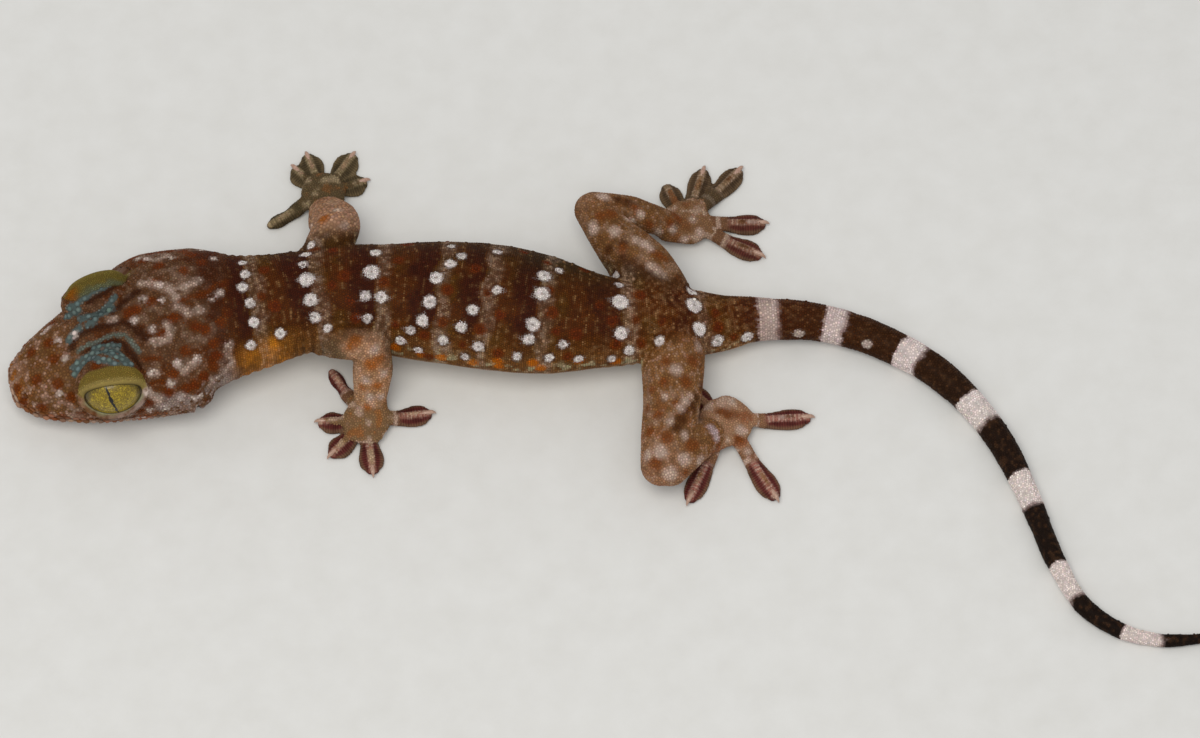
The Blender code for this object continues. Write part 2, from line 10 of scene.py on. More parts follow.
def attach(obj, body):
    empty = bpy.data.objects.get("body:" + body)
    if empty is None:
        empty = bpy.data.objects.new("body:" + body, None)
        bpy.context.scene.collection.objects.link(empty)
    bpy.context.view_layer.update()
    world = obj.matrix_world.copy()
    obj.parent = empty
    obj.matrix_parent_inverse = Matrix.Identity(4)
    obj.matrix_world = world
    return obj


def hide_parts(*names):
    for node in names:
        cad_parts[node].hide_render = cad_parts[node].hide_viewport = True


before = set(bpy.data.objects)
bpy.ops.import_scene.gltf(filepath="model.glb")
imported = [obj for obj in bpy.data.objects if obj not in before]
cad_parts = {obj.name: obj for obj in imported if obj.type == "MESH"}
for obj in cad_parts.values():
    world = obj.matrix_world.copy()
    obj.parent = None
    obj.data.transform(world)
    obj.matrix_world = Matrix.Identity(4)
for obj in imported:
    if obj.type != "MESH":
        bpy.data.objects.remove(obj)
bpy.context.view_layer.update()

# A young tokay gecko lying on its floor. The head points to -X, its left side faces -Y.
# Every shape is worked out in millimetres in the frame of the CAD, and becomes metres when it is finished.
mm = 0.001
planCentre = np.array((4.505, -4.06))  # the lists below were measured in a plan that is moved by this
dice = np.random.default_rng(27)

headForm = {
    "snout": (-67.5, -4.1),
    "turn": 15.0,  # degrees away from +X
    "blunt": 0.38,
    # along, sideways, half width, throat, widest level, crown, upper and lower squareness
    "keys": (
        (0.8, -0.8, 2.7, 2.2, 3.8, 5.9, 0.9, 0.9),
        (1.6, -0.8, 3.6, 1.9, 3.7, 6.6, 0.85, 0.9),
        (3.0, -0.8, 4.75, 1.6, 3.6, 7.2, 0.85, 0.9),
        (6.0, -0.65, 6.2, 1.4, 3.5, 8.3, 0.85, 0.9),
        (9.5, -0.4, 7.5, 1.2, 3.5, 9.3, 0.85, 0.9),
        (13.0, 0.05, 8.75, 1.1, 3.7, 10.1, 0.88, 0.9),
        (16.5, 0.55, 10.0, 1.1, 4.2, 10.9, 0.92, 0.9),
        (19.5, 0.85, 10.3, 1.1, 4.8, 11.3, 0.95, 0.95),
        (22.5, 0.95, 9.3, 1.2, 5.6, 11.5, 1.0, 1.0),
    ),
    "mouth": ((-1.8, 3.75), (1.0, 3.7), (4.0, 3.45), (8.0, 3.3), (12.0, 3.2), (14.5, 3.35), (16.5, 3.9)),
    "mouthCorner": 16.5,
    "ear": ((20.0, 10.1, 4.1), (0.3, 0.8)),
    "nostril": ((1.3, 2.3, 5.2), 0.42),
}
trunkForm = (  # x, y, half width, belly, widest level, back
    (-41.7, 3.2, 7.6, 1.4, 6.0, 11.4),
    (-38.3, 3.8, 6.8, 1.5, 6.2, 11.4),
    (-34.3, 4.7, 6.2, 1.4, 6.2, 11.5),
    (-29.7, 5.3, 6.4, 1.2, 6.2, 11.7),
    (-23.8, 5.2, 6.8, 1.1, 6.1, 11.8),
    (-16.7, 4.7, 7.5, 1.1, 6.1, 11.9),
    (-11.2, 4.0, 7.7, 1.1, 6.0, 11.9),
    (-6.0, 3.3, 7.2, 1.1, 5.8, 11.3),
    (-0.7, 2.8, 5.8, 1.2, 5.4, 10.2),
    (4.6, 2.8, 4.9, 1.2, 4.9, 9.0),
    (9.8, 3.2, 4.3, 1.0, 4.1, 7.6),
    (14.0, 3.8, 3.5, 0.6, 3.1, 6.0),
)
tailForm = {
    "keys": (  # x, y, half width, height
        (18.2, 4.4, 2.6, 5.0), (25.0, 4.4, 2.2, 4.2), (32.3, 2.2, 2.0, 3.9), (39.4, -2.4, 1.8, 3.5),
        (44.8, -9.0, 1.6, 3.1), (48.3, -16.5, 1.4, 2.75), (51.5, -25.5, 1.15, 2.3),
        (54.5, -31.2, 1.05, 2.05), (58.8, -34.4, 0.92, 1.8), (63.1, -35.4, 0.8, 1.55),
        (67.5, -35.2, 0.69, 1.35), (72.4, -34.3, 0.52, 1.02),
        (77.0, -33.0, 0.3, 0.6),
    ),
    "sunk": 0.12,  # share of the half height that the floor flattens
    "lift": (0.4, 0.1),
}
limbForm = {  # x, y, z, half width, half height
    "left": {
        "upper_arm": ((-33.8, 1.2, 6.2, 2.4, 2.3), (-29.6, -0.9, 7.8, 2.3, 2.1),
                      (-26.2, -2.0, 8.9, 2.0, 1.9)),
        "forearm": ((-25.8, -1.9, 8.8, 2.0, 1.9), (-25.9, -3.6, 5.8, 2.3, 1.8), (-26.3, -5.6, 2.5, 1.9, 1.4)),
        "thigh": ((8.4, 1.6, 4.8, 3.8, 3.0), (8.3, -5.0, 5.2, 3.5, 2.9), (7.8, -10.6, 4.8, 3.1, 2.6),
                  (7.0, -15.2, 4.2, 2.4, 2.2)),
        "shin": ((7.6, -15.1, 4.15, 2.55, 2.15), (9.95, -12.75, 3.85, 2.5, 1.95),
                 (12.4, -10.1, 2.6, 2.0, 1.5)),
    },
    "right": {
        "upper_arm": ((-33.6, 8.0, 6.0, 2.4, 2.3), (-31.6, 11.0, 7.0, 2.6, 2.3),
                      (-30.4, 13.4, 7.3, 2.7, 2.2)),
        "forearm": ((-30.3, 13.7, 7.1, 2.7, 2.2), (-30.8, 16.4, 5.0, 2.9, 2.0), (-31.7, 19.3, 2.4, 2.1, 1.3)),
        "thigh": ((8.0, 3.8, 4.9, 3.7, 3.0), (5.0, 9.2, 5.6, 3.7, 2.9), (1.2, 14.2, 5.7, 2.7, 2.5),
                  (-1.0, 17.4, 5.3, 2.1, 2.1)),
        "shin": ((-0.8, 17.6, 5.2, 2.1, 2.0), (3.6, 17.6, 4.3, 2.1, 1.8), (7.8, 17.2, 2.5, 1.7, 1.4)),
    },
}
feetForm = {
    "hand_left": {
        "wrist": (-26.3, -5.4), "palm": (-26.7, -7.9), "wide": 2.8, "pad": 3.6, "lobe": 1.4,
        "toes": ((-31.0, -0.9), (-32.8, -7.6), (-31.2, -12.4), (-25.8, -14.8), (-18.7, -6.4)),
    },
    "hand_right": {
        "wrist": (-31.7, 19.2), "palm": (-32.2, 22.0), "wide": 2.7, "pad": 3.5, "lobe": 1.5,
        "toes": ((-38.6, 18.0), (-36.2, 26.3), (-34.5, 28.1), (-28.5, 28.1), (-26.7, 24.3)),
    },
    "foot_left": {
        "wrist": (12.6, -10.0), "palm": (14.4, -8.0), "wide": 3.3, "pad": 5.0, "lobe": 1.35,
        "toes": ((10.4, -3.5), (7.9, -6.7), (9.8, -18.4), (20.4, -18.0), (24.7, -7.0)),
    },
    "foot_right": {
        "wrist": (7.9, 17.2), "palm": (10.0, 18.0), "wide": 3.0, "pad": 4.2, "lobe": 1.35,
        "toes": ((7.7, 23.4), (12.3, 26.2), (16.8, 26.1), (19.8, 18.4), (19.3, 13.8)),
    },
}
toeForm = {
    "palmHeight": 1.35, "neck": 0.78, "thick": 0.72, "ridge": 0.42, "ridgeTop": 1.25, "flat": 0.12,
    "rootHeight": 1.3, "padMost": 0.7, "thumb": 0.62,
}
clawForm = {  # "none" is the number of the toe that has no claw
    "out": 0.75, "in": 1.1, "wide": 0.27, "tall": 0.3, "height": 0.74, "none": 0, "sides": 10, "rings": 9,
}
eyeForm = {
    "at": {-1: (10.95, 5.75, 7.75), 1: (12.0, 5.7, 7.85)},  # left and right: along the head, sideways, height
    "size": (3.6, 2.95, 3.1), "mean": 3.2,
    "raised": 27.0, "forward": 6.0,  # degrees that it looks up and forward
    "opening": (3.28, 1.95),  # half length and half height of what the lids leave open
    "brow": 0.75,  # the brow is a dome over the ball, this much larger than the ball
    "fold": (0.22, 2.05),  # width of the smooth fold of the lower and the upper lid
    "rim": (0.24, 0.95),  # how far the lower and the upper lid stand out over the ball
}


def smooth(value, low, high):
    share = np.clip((value - low) / (high - low), 0, 1)
    return share * share * (3 - 2 * share)


def bell(value, middle, wide):
    return np.exp(-(((value - middle) / wide) ** 2))


def noise(points, size, seed):
    # smooth random values from -1 to 1 that change over this size
    grid = points / size + seed * 17.31
    cell = np.floor(grid).astype(np.int64)
    part = grid - cell
    part = part * part * (3 - 2 * part)
    total = np.zeros(len(points))
    for corner in range(8):
        step = np.array([(corner >> axis) & 1 for axis in range(3)])
        spot = cell + step
        mixed = (spot[:, 0] * 73856093) ^ (spot[:, 1] * 19349663) ^ (spot[:, 2] * 83492791) ^ (seed * 40503)
        mixed = (mixed * 2654435761) & 0xFFFFFFFF
        mixed = ((mixed >> 15) ^ mixed) * 2246822519 & 0xFFFFFFFF
        value = ((mixed >> 7) & 0xFFFF) / 32767.5 - 1
        total += value * np.prod(np.where(step, part, 1 - part), axis=1)
    return total


def stationValues(keys, place):
    # a smooth curve through the keys, at a station number that may lie between two
    last = len(keys) - 1
    place = min(max(place, 0.0), float(last))
    low = min(int(place), last - 1)
    part = place - low
    before, start, end, after = (keys[max(low - 1, 0)], keys[low], keys[low + 1], keys[min(low + 2, last)])
    leave, arrive = (end - before) / 2, (after - start) / 2
    return (start + leave * part + (3 * (end - start) - 2 * leave - arrive) * part**2
            + (2 * (start - end) + leave + arrive) * part**3)


def stationWay(keys, place):
    way = stationValues(keys, place + 0.02)[:3] - stationValues(keys, place - 0.02)[:3]
    return way / np.linalg.norm(way)


def headAxes():
    turn = math.radians(headForm["turn"])
    return np.array((math.cos(turn), math.sin(turn), 0)), np.array((-math.sin(turn), math.cos(turn), 0))


def headPoint(along, sideways, height):
    axis, side = headAxes()
    start = np.array((*(np.array(headForm["snout"]) - planCentre), 0))
    return start + axis * along + side * sideways + np.array((0, 0, height))


def midline(along):
    keys = np.array(headForm["keys"])
    return float(np.interp(along, keys[:, 0], keys[:, 1]))


def mouthHeight(along):
    line = np.array(headForm["mouth"])
    return np.interp(along, line[:, 0], line[:, 1])


def planned(point):
    # a place in the measured plan, moved to the frame of the CAD
    return np.array((point[0] - planCentre[0], point[1] - planCentre[1], *point[2:]), float)


def spineKeys():
    keys = []
    for along, sideways, wide, low, level, high, upper, lower in headForm["keys"]:
        keys.append((*headPoint(along, sideways, level), wide, high - level, level - low, upper, lower))
    for x, y, wide, low, level, high in trunkForm:
        keys.append((*planned((x, y, level)), wide, high - level, level - low, 1.0, 1.0))
    for number, (x, y, wide, tall) in enumerate(tailForm["keys"]):
        lift = tailForm["lift"][number] if number < 2 else -tailForm["sunk"] * tall / 2
        keys.append((*planned((x, y, tall / 2 + lift)), wide, tall / 2, tall / 2, 1.0, 1.0))
    return np.array(keys)


def limbKeys(stations):
    return np.array([(*planned((x, y, z)), wide, tall, tall, 1.0, 1.0) for x, y, z, wide, tall in stations])


def toeLine(shape, number):
    # where a toe leaves the palm, where its pad ends, and its direction
    tip, palm = np.array((*planned(shape["toes"][number]), 0)), np.array((*planned(shape["palm"]), 0))
    way = (tip - palm) / np.linalg.norm(tip - palm)
    clawed = number != clawForm["none"]
    return palm + way * 0.35 * shape["wide"], tip - way * ((clawForm["out"] if clawed else 0) + 0.3), way


def toeLobe(shape, number):
    # half the width of a toe's pad; the thumbs are slim
    slim = number == clawForm["none"] and shape["lobe"] > 1.36
    return shape["lobe"] * (toeForm["thumb"] if slim else 1.0)


def padShare(padLength, long):
    return min(padLength / long, toeForm["padMost"])


def toeKeys(root, tip, padLength, lobe):
    along = tip - root
    pad = padShare(padLength, np.linalg.norm(along))
    neck, half, high = toeForm["neck"], toeForm["thick"] / 2, toeForm["rootHeight"]
    deep = half + toeForm["flat"]
    shape = (
        (0.0, high, neck, 0.62, 0.62), (0.55 * (1 - pad), high - 0.1, neck, 0.6, 0.6),
        (1 - pad, 0.7, neck + 0.1, 0.5, 0.6), (1 - 0.7 * pad, half, 0.85 * lobe, half, deep),
        (1 - 0.4 * pad, half, lobe, half, deep), (1 - 0.14 * pad, half, 0.88 * lobe, half, deep),
        (1.0, half, 0.55 * lobe, half, deep),
    )
    return np.array([(*(root + along * share)[:2], z, side, rise, drop, 0.8, 0.8)
                     for share, z, side, rise, drop in shape])


def ridgeKeys(root, tip, padLength):
    along = tip - root
    pad = padShare(padLength, np.linalg.norm(along))
    wide, top = toeForm["ridge"], toeForm["ridgeTop"]
    shape = (
        (1 - 1.1 * pad, 1.0, 0.5), (1 - 0.7 * pad, 1.0, 0.45), (1 - 0.3 * pad, 0.9, 0.4), (0.98, 0.75, 0.3),
    )
    return np.array([(*(root + along * share)[:2], top * size - rise, wide * size, rise, rise, 1.0, 1.0)
                     for share, size, rise in shape])


def palmKeys(shape):
    wrist, palm = np.array((*planned(shape["wrist"]), 0)), np.array((*planned(shape["palm"]), 0))
    ahead = (palm - wrist) / np.linalg.norm(palm - wrist)
    wide, high = shape["wide"], toeForm["palmHeight"]
    return np.array((
        (*(wrist - ahead * 0.6)[:2], high + 0.7, 0.66 * wide, 1.1, 1.0, 1.0, 1.0),
        (*wrist[:2], high + 0.5, 0.72 * wide, 1.1, 1.1, 1.0, 1.0),
        (*palm[:2], high, wide, 1.05, 1.05, 1.0, 1.0),
        (*(palm + ahead * 0.5 * wide)[:2], high - 0.1, 0.85 * wide, 0.85, 0.95, 1.0, 1.0),
    ))


def sectionRing(values, way, turns, grow, floor):
    side = np.cross((0, 0, 1), way)
    side /= np.linalg.norm(side)
    up = np.cross(way, side)
    across, height = np.cos(turns), np.sin(turns)
    power = np.where(height > 0, values[6], values[7])
    tall = np.where(height > 0, values[4], values[5]) + grow
    across = np.copysign(np.abs(across) ** power, across) * (values[3] + grow)
    height = np.copysign(np.abs(height) ** power, height) * tall
    ring = values[:3] + np.outer(across, side) + np.outer(height, up)
    ring[:, 2] = np.maximum(ring[:, 2], floor)
    return ring


def firstRing(form, sides):
    # a ring to extrude: its edges, its corners with their numbers, and how far round each lies
    corners = bmesh.ops.create_circle(form, segments=sides, radius=1.0)["verts"]
    turns = np.array([math.atan2(corner.co.y, corner.co.x) for corner in corners])
    return list(form.edges), {corner: number for number, corner in enumerate(corners)}, turns


def nextRing(form, edges, marks):
    made = bmesh.ops.extrude_edge_only(form, edges=edges)["geom"]
    older = {corner.co.copy().freeze(): mark for corner, mark in marks.items()}
    corners = [part for part in made if isinstance(part, bmesh.types.BMVert)]
    edges = [part for part in made if isinstance(part, bmesh.types.BMEdge)]
    return edges, {corner: older[corner.co.copy().freeze()] for corner in corners}


def domed(values, way, rings, blunt):
    # the sections of a rounded end
    made = []
    for number in range(1, rings + 1):
        turn = math.radians(90) * number / (rings + 0.3)
        shrunk = values.copy()
        shrunk[:3] += way * values[3:6].mean() * blunt * math.sin(turn)
        shrunk[3:6] *= math.cos(turn)
        made.append((shrunk, way))
    return made


def loft(keys, places, sides, grow=0.0, floor=0.0, roundStart=0, roundEnd=0, blunt=1.0):
    # a closed bmesh through the sections at these stations, with domed ends
    sections = [(stationValues(keys, place), stationWay(keys, place)) for place in places]
    (start, startWay), (end, endWay) = sections[0], sections[-1]
    nose = [(values, startWay) for values, way in domed(start, -startWay, roundStart, blunt)]
    sections = nose[::-1] + sections + domed(end, endWay, roundEnd, 1.0)
    form = bmesh.new()
    edges, marks, turns = firstRing(form, sides)
    for number, (values, way) in enumerate(sections):
        if number:
            edges, marks = nextRing(form, edges, marks)
        spots = sectionRing(values, way, turns, grow, floor)
        for corner, mark in marks.items():
            corner.co = spots[mark]
    bmesh.ops.holes_fill(form, edges=form.edges, sides=0)
    bmesh.ops.recalc_face_normals(form, faces=form.faces)
    return form


def addForm(whole, form):
    # a finished form joins another
    part = bpy.data.meshes.new("part")
    form.to_mesh(part)
    form.free()
    whole.from_mesh(part)
    bpy.data.meshes.remove(part)


def placed(name, form, scale=mm):
    data = bpy.data.meshes.new(name)
    bmesh.ops.scale(form, vec=(scale,) * 3, verts=form.verts)
    form.to_mesh(data)
    form.free()
    piece = bpy.data.objects.new(name, data)
    bpy.context.scene.collection.objects.link(piece)
    return piece


def spread(start, end, count):
    return [start + (end - start) * step / (count - 1) for step in range(count)]


spine = spineKeys()
spinePlaces = np.arange(0, len(spine) - 1 + 0.01, 0.05)
spineRun = np.array([stationValues(spine, place) for place in spinePlaces])
spineWays = np.array([stationWay(spine, place) for place in spinePlaces])
spineLength = np.concatenate(((0,), np.cumsum(np.linalg.norm(np.diff(spineRun[:, :2], axis=0), axis=1))))


def alongSpine(points):
    # distance from the snout along the spine, angle round it (0 the back, +90 the right side), and
    # relative distance from it
    nearest = np.empty(len(points), int)
    for start in range(0, len(points), 20000):
        part = points[start:start + 20000, None, :2] - spineRun[None, :, :2]
        nearest[start:start + 20000] = (part**2).sum(2).argmin(1)
    ways = spineWays[nearest, :2]
    away = points[:, :2] - spineRun[nearest, :2]
    ahead = (away * ways).sum(1)
    run = spineLength[nearest] + np.clip(ahead, -0.6, 0.6)
    run = np.where(nearest == 0, spineLength[0] + np.minimum(ahead, 0.6), run)
    values = np.stack([np.interp(run, spineLength, spineRun[:, column]) for column in range(8)], axis=1)
    sideways = away[:, 1] * ways[:, 0] - away[:, 0] * ways[:, 1]
    height = points[:, 2] - values[:, 2]
    tall = np.where(height > 0, values[:, 4], values[:, 5])
    angle = np.degrees(np.arctan2(sideways / values[:, 3], height / tall))
    return run, angle, np.hypot(sideways / values[:, 3], height / tall)


def onSpine(run, angle):
    # the place on the trunk's or tail's surface at this distance and angle
    values = np.array([np.interp(run, spineLength, spineRun[:, column]) for column in range(8)])
    way = np.array([np.interp(run, spineLength, spineWays[:, column]) for column in range(3)])
    side = np.cross((0, 0, 1), way / np.linalg.norm(way))
    turn = math.radians(angle)
    tall = values[4] if math.cos(turn) > 0 else values[5]
    return values[:3] + side * values[3] * math.sin(turn) + np.array((0, 0, 1)) * tall * math.cos(turn)


def alongPath(points, path, sizes):
    # relative distance from a path with a half width and half height at each point, then distance
    # along it, and sideways
    best = np.full(len(points), 1e9)
    run, side = np.zeros(len(points)), np.zeros(len(points))
    walked = 0.0
    for start, end, near, far in zip(path, path[1:], sizes, sizes[1:]):
        step = end - start
        length = np.linalg.norm(step)
        share = np.clip(((points - start) @ step) / length**2, 0, 1)
        spot = start + share[:, None] * step
        size = near + share[:, None] * (far - near)
        across = np.cross((0, 0, 1), step / length)
        across /= np.linalg.norm(across)
        off = points - spot
        sideways = off @ across
        rest = np.linalg.norm(off - sideways[:, None] * across, axis=1)
        reached = np.hypot(sideways / size[:, 0], rest / size[:, 1])
        closer = reached < best
        best = np.where(closer, reached, best)
        run = np.where(closer, walked + share * length, run)
        side = np.where(closer, sideways, side)
        walked += length
    return best, run, side


def headPlace(points):
    # along, sideways from the middle of the head, height
    axis, side = headAxes()
    away = points - headPoint(0, 0, 0)
    along = away @ axis
    keys = np.array(headForm["keys"])
    return along, away @ side - np.interp(along, keys[:, 0], keys[:, 1]), points[:, 2]


def eyeFrame(side):
    # the ball's centre and its axes: along the head, outwards, upwards
    yaw = math.radians(headForm["turn"] + side * eyeForm["forward"])
    turn = Matrix.Rotation(yaw, 3, "Z") @ Matrix.Rotation(math.radians(side * eyeForm["raised"]), 3, "X")
    along, sideways, height = eyeForm["at"][side]
    axes = np.array(turn) @ np.diag((1, side, 1))
    return headPoint(along, midline(along) + side * sideways, height), axes.T


def eyePlace(points, side):
    centre, axes = eyeFrame(side)
    return (points - centre) @ axes.T


def nostrilAway(points, side):
    along, out, height = headForm["nostril"][0]
    return np.linalg.norm(points - headPoint(along, midline(along) + side * out, height), axis=1)


def earAway(along, height):
    # distance from the middle of an ear, 1 at its rim
    (earAlong, _, earHeight), (long, tall) = headForm["ear"]
    return np.hypot((along - earAlong) / long, (height - earHeight) / tall)


def eyeRing(points, side):
    # distance over the ball from the rim of the lids, how far up round the eye, and height above the ball
    unit = eyePlace(points, side) / eyeForm["size"]
    flat = np.maximum(np.hypot(unit[:, 0], unit[:, 2]), 1e-6)
    across, up = unit[:, 0] / flat, unit[:, 2] / flat
    away = np.arctan2(flat, unit[:, 1]) - np.arcsin(rimShare(across, up))
    return away * eyeForm["mean"], up, (np.linalg.norm(unit, axis=1) - 1) * eyeForm["mean"]


def rimShare(across, up):
    long, tall = eyeForm["opening"][0] / eyeForm["size"][0], eyeForm["opening"][1] / eyeForm["size"][2]
    return 1 / np.sqrt((across / long) ** 2 + (up / tall) ** 2)


def foldWidth(up):
    low, high = eyeForm["fold"]
    return low + (high - low) * smooth(up, 0.12, 0.85)


def rimHeight(up):
    low, high = eyeForm["rim"]
    return low + (high - low) * smooth(up, 0.0, 0.8)


def lidTop(share, up):
    # height of the lids over the ball, at a share of their width
    return rimHeight(up) + (eyeForm["brow"] - skinLook["inset"] - rimHeight(up)) * smooth(share, 0.1, 1.0)


print("stage: forms ready, spine", round(float(spineLength[-1]), 1), "mm")


def limbPlace(points):
    # relative distance from the nearest arm or leg, distance along it, and its number
    best = np.full(len(points), 1e9)
    run, code = np.zeros(len(points)), np.full(len(points), -1)
    armBones, legBones = ("upper_arm", "forearm"), ("thigh", "shin")
    limbs = (("left", armBones), ("left", legBones), ("right", armBones), ("right", legBones))
    for number, (side, bones) in enumerate(limbs):
        stations = [np.array(station) for bone in bones for station in limbForm[side][bone]]
        path = [planned(station[:3]) for station in stations]
        far, walked, _ = alongPath(points, path, [station[3:] for station in stations])
        closer = far < best
        best, run = np.where(closer, far, best), np.where(closer, walked, run)
        code = np.where(closer, number, code)
    return best, run, code


def footPlace(points):
    # relative distance from the nearest palm or toe, numbers of its foot and toe (-1 for a palm), distance
    # along the toe, sideways, the pad's share of the toe, and the toe's length
    count = len(points)
    best, foot, toe = np.full(count, 1e9), np.full(count, -1), np.full(count, -1)
    run, side, pads, lengths = np.zeros(count), np.zeros(count), np.zeros(count), np.ones(count)
    for number, shape in enumerate(feetForm.values()):
        keys = palmKeys(shape)
        near = np.linalg.norm(points - keys[2, :3], axis=1) < 16
        if not near.any():
            continue
        some = points[near]
        sizes = [np.array((key[3], 1.1)) for key in keys[1:]]
        far, walked, sideways = alongPath(some, list(keys[1:, :3]), sizes)
        found = [(far, -1, walked, sideways, 0.0, 1.0)]
        for digit in range(5):
            root, tip, way = toeLine(shape, digit)
            long = np.linalg.norm(tip - root)
            pad = padShare(shape["pad"], long)
            path = [root + (0, 0, 1.3), root + (tip - root) * (1 - pad) + (0, 0, 0.7),
                    root + (tip - root) * (1 - 0.6 * pad) + (0, 0, 0.35), tip + (0, 0, 0.3)]
            neck, lobe = toeForm["neck"], toeLobe(shape, digit)
            sizes = ((neck, 0.62), (neck + 0.1, 0.55), (lobe, 0.45), (0.6 * lobe, 0.4))
            sizes = [np.array(size) for size in sizes]
            far, walked, sideways = alongPath(some, path, sizes)
            found.append((far, digit, walked, sideways, pad, long))
        rows = np.flatnonzero(near)
        for far, digit, walked, sideways, pad, long in found:
            better = far < best[rows]
            which = rows[better]
            best[which], foot[which], toe[which] = far[better], number, digit
            run[which], side[which], pads[which], lengths[which] = walked[better], sideways[better], pad, long
    return best, foot, toe, run, side, pads, lengths


# The skin: the same forms as the solids, fused by a voxel remesh, smoothed, and then modelled point by point
skinLook = {
    "inset": 0.07,  # the scales stand on the skin and bring it back to the solids' size
    "voxel": 0.23,
    "smoothing": (14, 3),  # passes on the body, and on the feet
    "triangles": 190000,
    "mouthDeep": 0.3, "mouthWide": 0.22,
    "wrinkles": 0.075, "foldPitch": 1.15,
    "lidSides": 96,
}


def skinForms():
    inset = -skinLook["inset"]
    forms = [loft(spine, spread(0, len(spine) - 1, 300), 48, inset, 0.02, 8, 4, headForm["blunt"])]
    for side in (-1, 1):
        centre, axes = eyeFrame(side)
        size = np.array(eyeForm["size"]) + eyeForm["brow"] + inset
        ball = bmesh.new()
        bmesh.ops.create_uvsphere(ball, u_segments=40, v_segments=24, radius=1.0)
        turn = Matrix((axes.T * size).tolist()).to_4x4()
        bmesh.ops.transform(ball, matrix=Matrix.Translation(centre) @ turn, verts=ball.verts)
        bmesh.ops.recalc_face_normals(ball, faces=ball.faces)
        forms.append(ball)
    for side, bones in limbForm.items():
        for stations in bones.values():
            keys = limbKeys(stations)
            forms.append(loft(keys, spread(0, len(keys) - 1, 8 * len(keys)), 24, inset, 0.02, 5, 5))
    for name, shape in feetForm.items():
        keys = palmKeys(shape)
        forms.append(loft(keys, spread(0, 3, 14), 20, inset, 0.1, 3, 4))
        for number in range(5):
            root, tip, way = toeLine(shape, number)
            toe = toeKeys(root, tip, shape["pad"], toeLobe(shape, number))
            forms.append(loft(toe, spread(0, 6, 26), 20, 0.02, 0.0, 0, 3))
            forms.append(loft(ridgeKeys(root, tip, shape["pad"]), spread(0, 3, 12), 12, 0.04, 0.0, 2, 2))
    return forms


def meshArrays(data):
    spots = np.empty(len(data.vertices) * 3, np.float32)
    data.vertices.foreach_get("co", spots)
    ends = np.empty(len(data.edges) * 2, np.int32)
    data.edges.foreach_get("vertices", ends)
    return spots.reshape(-1, 3).astype(float), ends.reshape(-1, 2)


def relax(spots, ends, passes, weight):
    # smoothing that doesn't shrink: each pass in is followed by one out
    count = np.bincount(ends.ravel(), minlength=len(spots))[:, None]
    for number in range(passes * 2):
        total = np.zeros_like(spots)
        for axis in range(3):
            total[:, axis] = (np.bincount(ends[:, 0], spots[ends[:, 1], axis], len(spots))
                              + np.bincount(ends[:, 1], spots[ends[:, 0], axis], len(spots)))
        factor = 0.5 if number % 2 == 0 else -0.52
        spots = spots + (total / np.maximum(count, 1) - spots) * factor * weight[:, None]
    return spots


def vertexNormals(data):
    normals = np.empty(len(data.vertices) * 3, np.float32)
    data.vertices.foreach_get("normal", normals)
    return normals.reshape(-1, 3).astype(float)


def shapeHead(spots, normals):
    # hollows, ridges, the mouth, nostrils, ears and the sockets, as moves along the normals
    along, sideways, height = headPlace(spots)
    side = np.sign(sideways)
    off = np.abs(sideways)
    move = np.zeros(len(spots))
    onHead = smooth(-along, -27, -24)
    top = smooth(normals[:, 2], 0.3, 0.8)

    def bump(at, size, tall):
        return tall * np.exp(-(((along - at[0]) / size[0]) ** 2 + ((off - at[1]) / size[1]) ** 2)) * top

    move += bump((11.8, 2.7), (3.2, 1.25), 0.75)  # the brows' inner side is filled up to the crown
    move += bump((10.2, 0.0), (3.4, 1.1), -0.3)  # hollow between the brows
    move += bump((5.0, 0.0), (2.2, 1.3), -0.22)
    move += bump((6.0, 3.3), (2.6, 0.7), 0.16)  # ridge from brow to nostril
    move += bump((18.5, 5.6), (3.6, 2.2), 0.2)  # jaw muscle
    move += bump((16.6, 2.4), (2.4, 1.2), -0.1)
    level = mouthHeight(along)
    inMouth = smooth(-along, -headForm["mouthCorner"] - 0.6, -headForm["mouthCorner"] + 0.8) * (along > -3)
    outer = smooth(-normals[:, 2], -0.75, -0.4) * smooth(normals[:, 2], -0.95, -0.6)
    apart = (height - level) / skinLook["mouthWide"]
    move -= skinLook["mouthDeep"] * np.exp(-apart**2) * inMouth * outer
    move += 0.12 * bell(np.abs(apart), 3.2, 1.7) * inMouth * outer
    near = earAway(along, height)
    for hole in (-1, 1):
        away = nostrilAway(spots, hole)
        move -= 0.5 * np.exp(-((away / headForm["nostril"][1]) ** 4))
        move += 0.12 * bell(away, 0.75, 0.25)
        onSide = (side == hole) & (off > headForm["ear"][0][1] * 0.75)
        move -= np.where(onSide, 0.7 * np.exp(-(near**4)), 0)
        move += np.where(onSide, 0.14 * bell(near, 2.0, 0.6), 0)
    spots = spots + normals * (move * onHead)[:, None]
    for hole in (-1, 1):
        # inside the opening the skin goes behind the ball, and round it lies just under the lids
        rim, up, lift = eyeRing(spots, hole)
        wide = foldWidth(up)
        near = (rim < wide + 0.9) & (np.abs(lift) < 1.9) & (eyePlace(spots, hole)[:, 1] > -1.2)
        lid = lidTop(np.clip(rim / wide, 0, 1), up) - 0.14
        lid = np.where(rim < 0.02, -0.5, np.minimum(lid, np.maximum(lift, 0.2)))
        keep = smooth(rim, wide * 0.9, wide + 0.9)
        wanted = lid * (1 - keep) + lift * keep
        stretch = (1 + wanted / eyeForm["mean"]) / (1 + lift / eyeForm["mean"])
        centre = eyeFrame(hole)[0]
        spots = np.where(near[:, None], (spots - centre) * stretch[:, None] + centre, spots)
    return spots


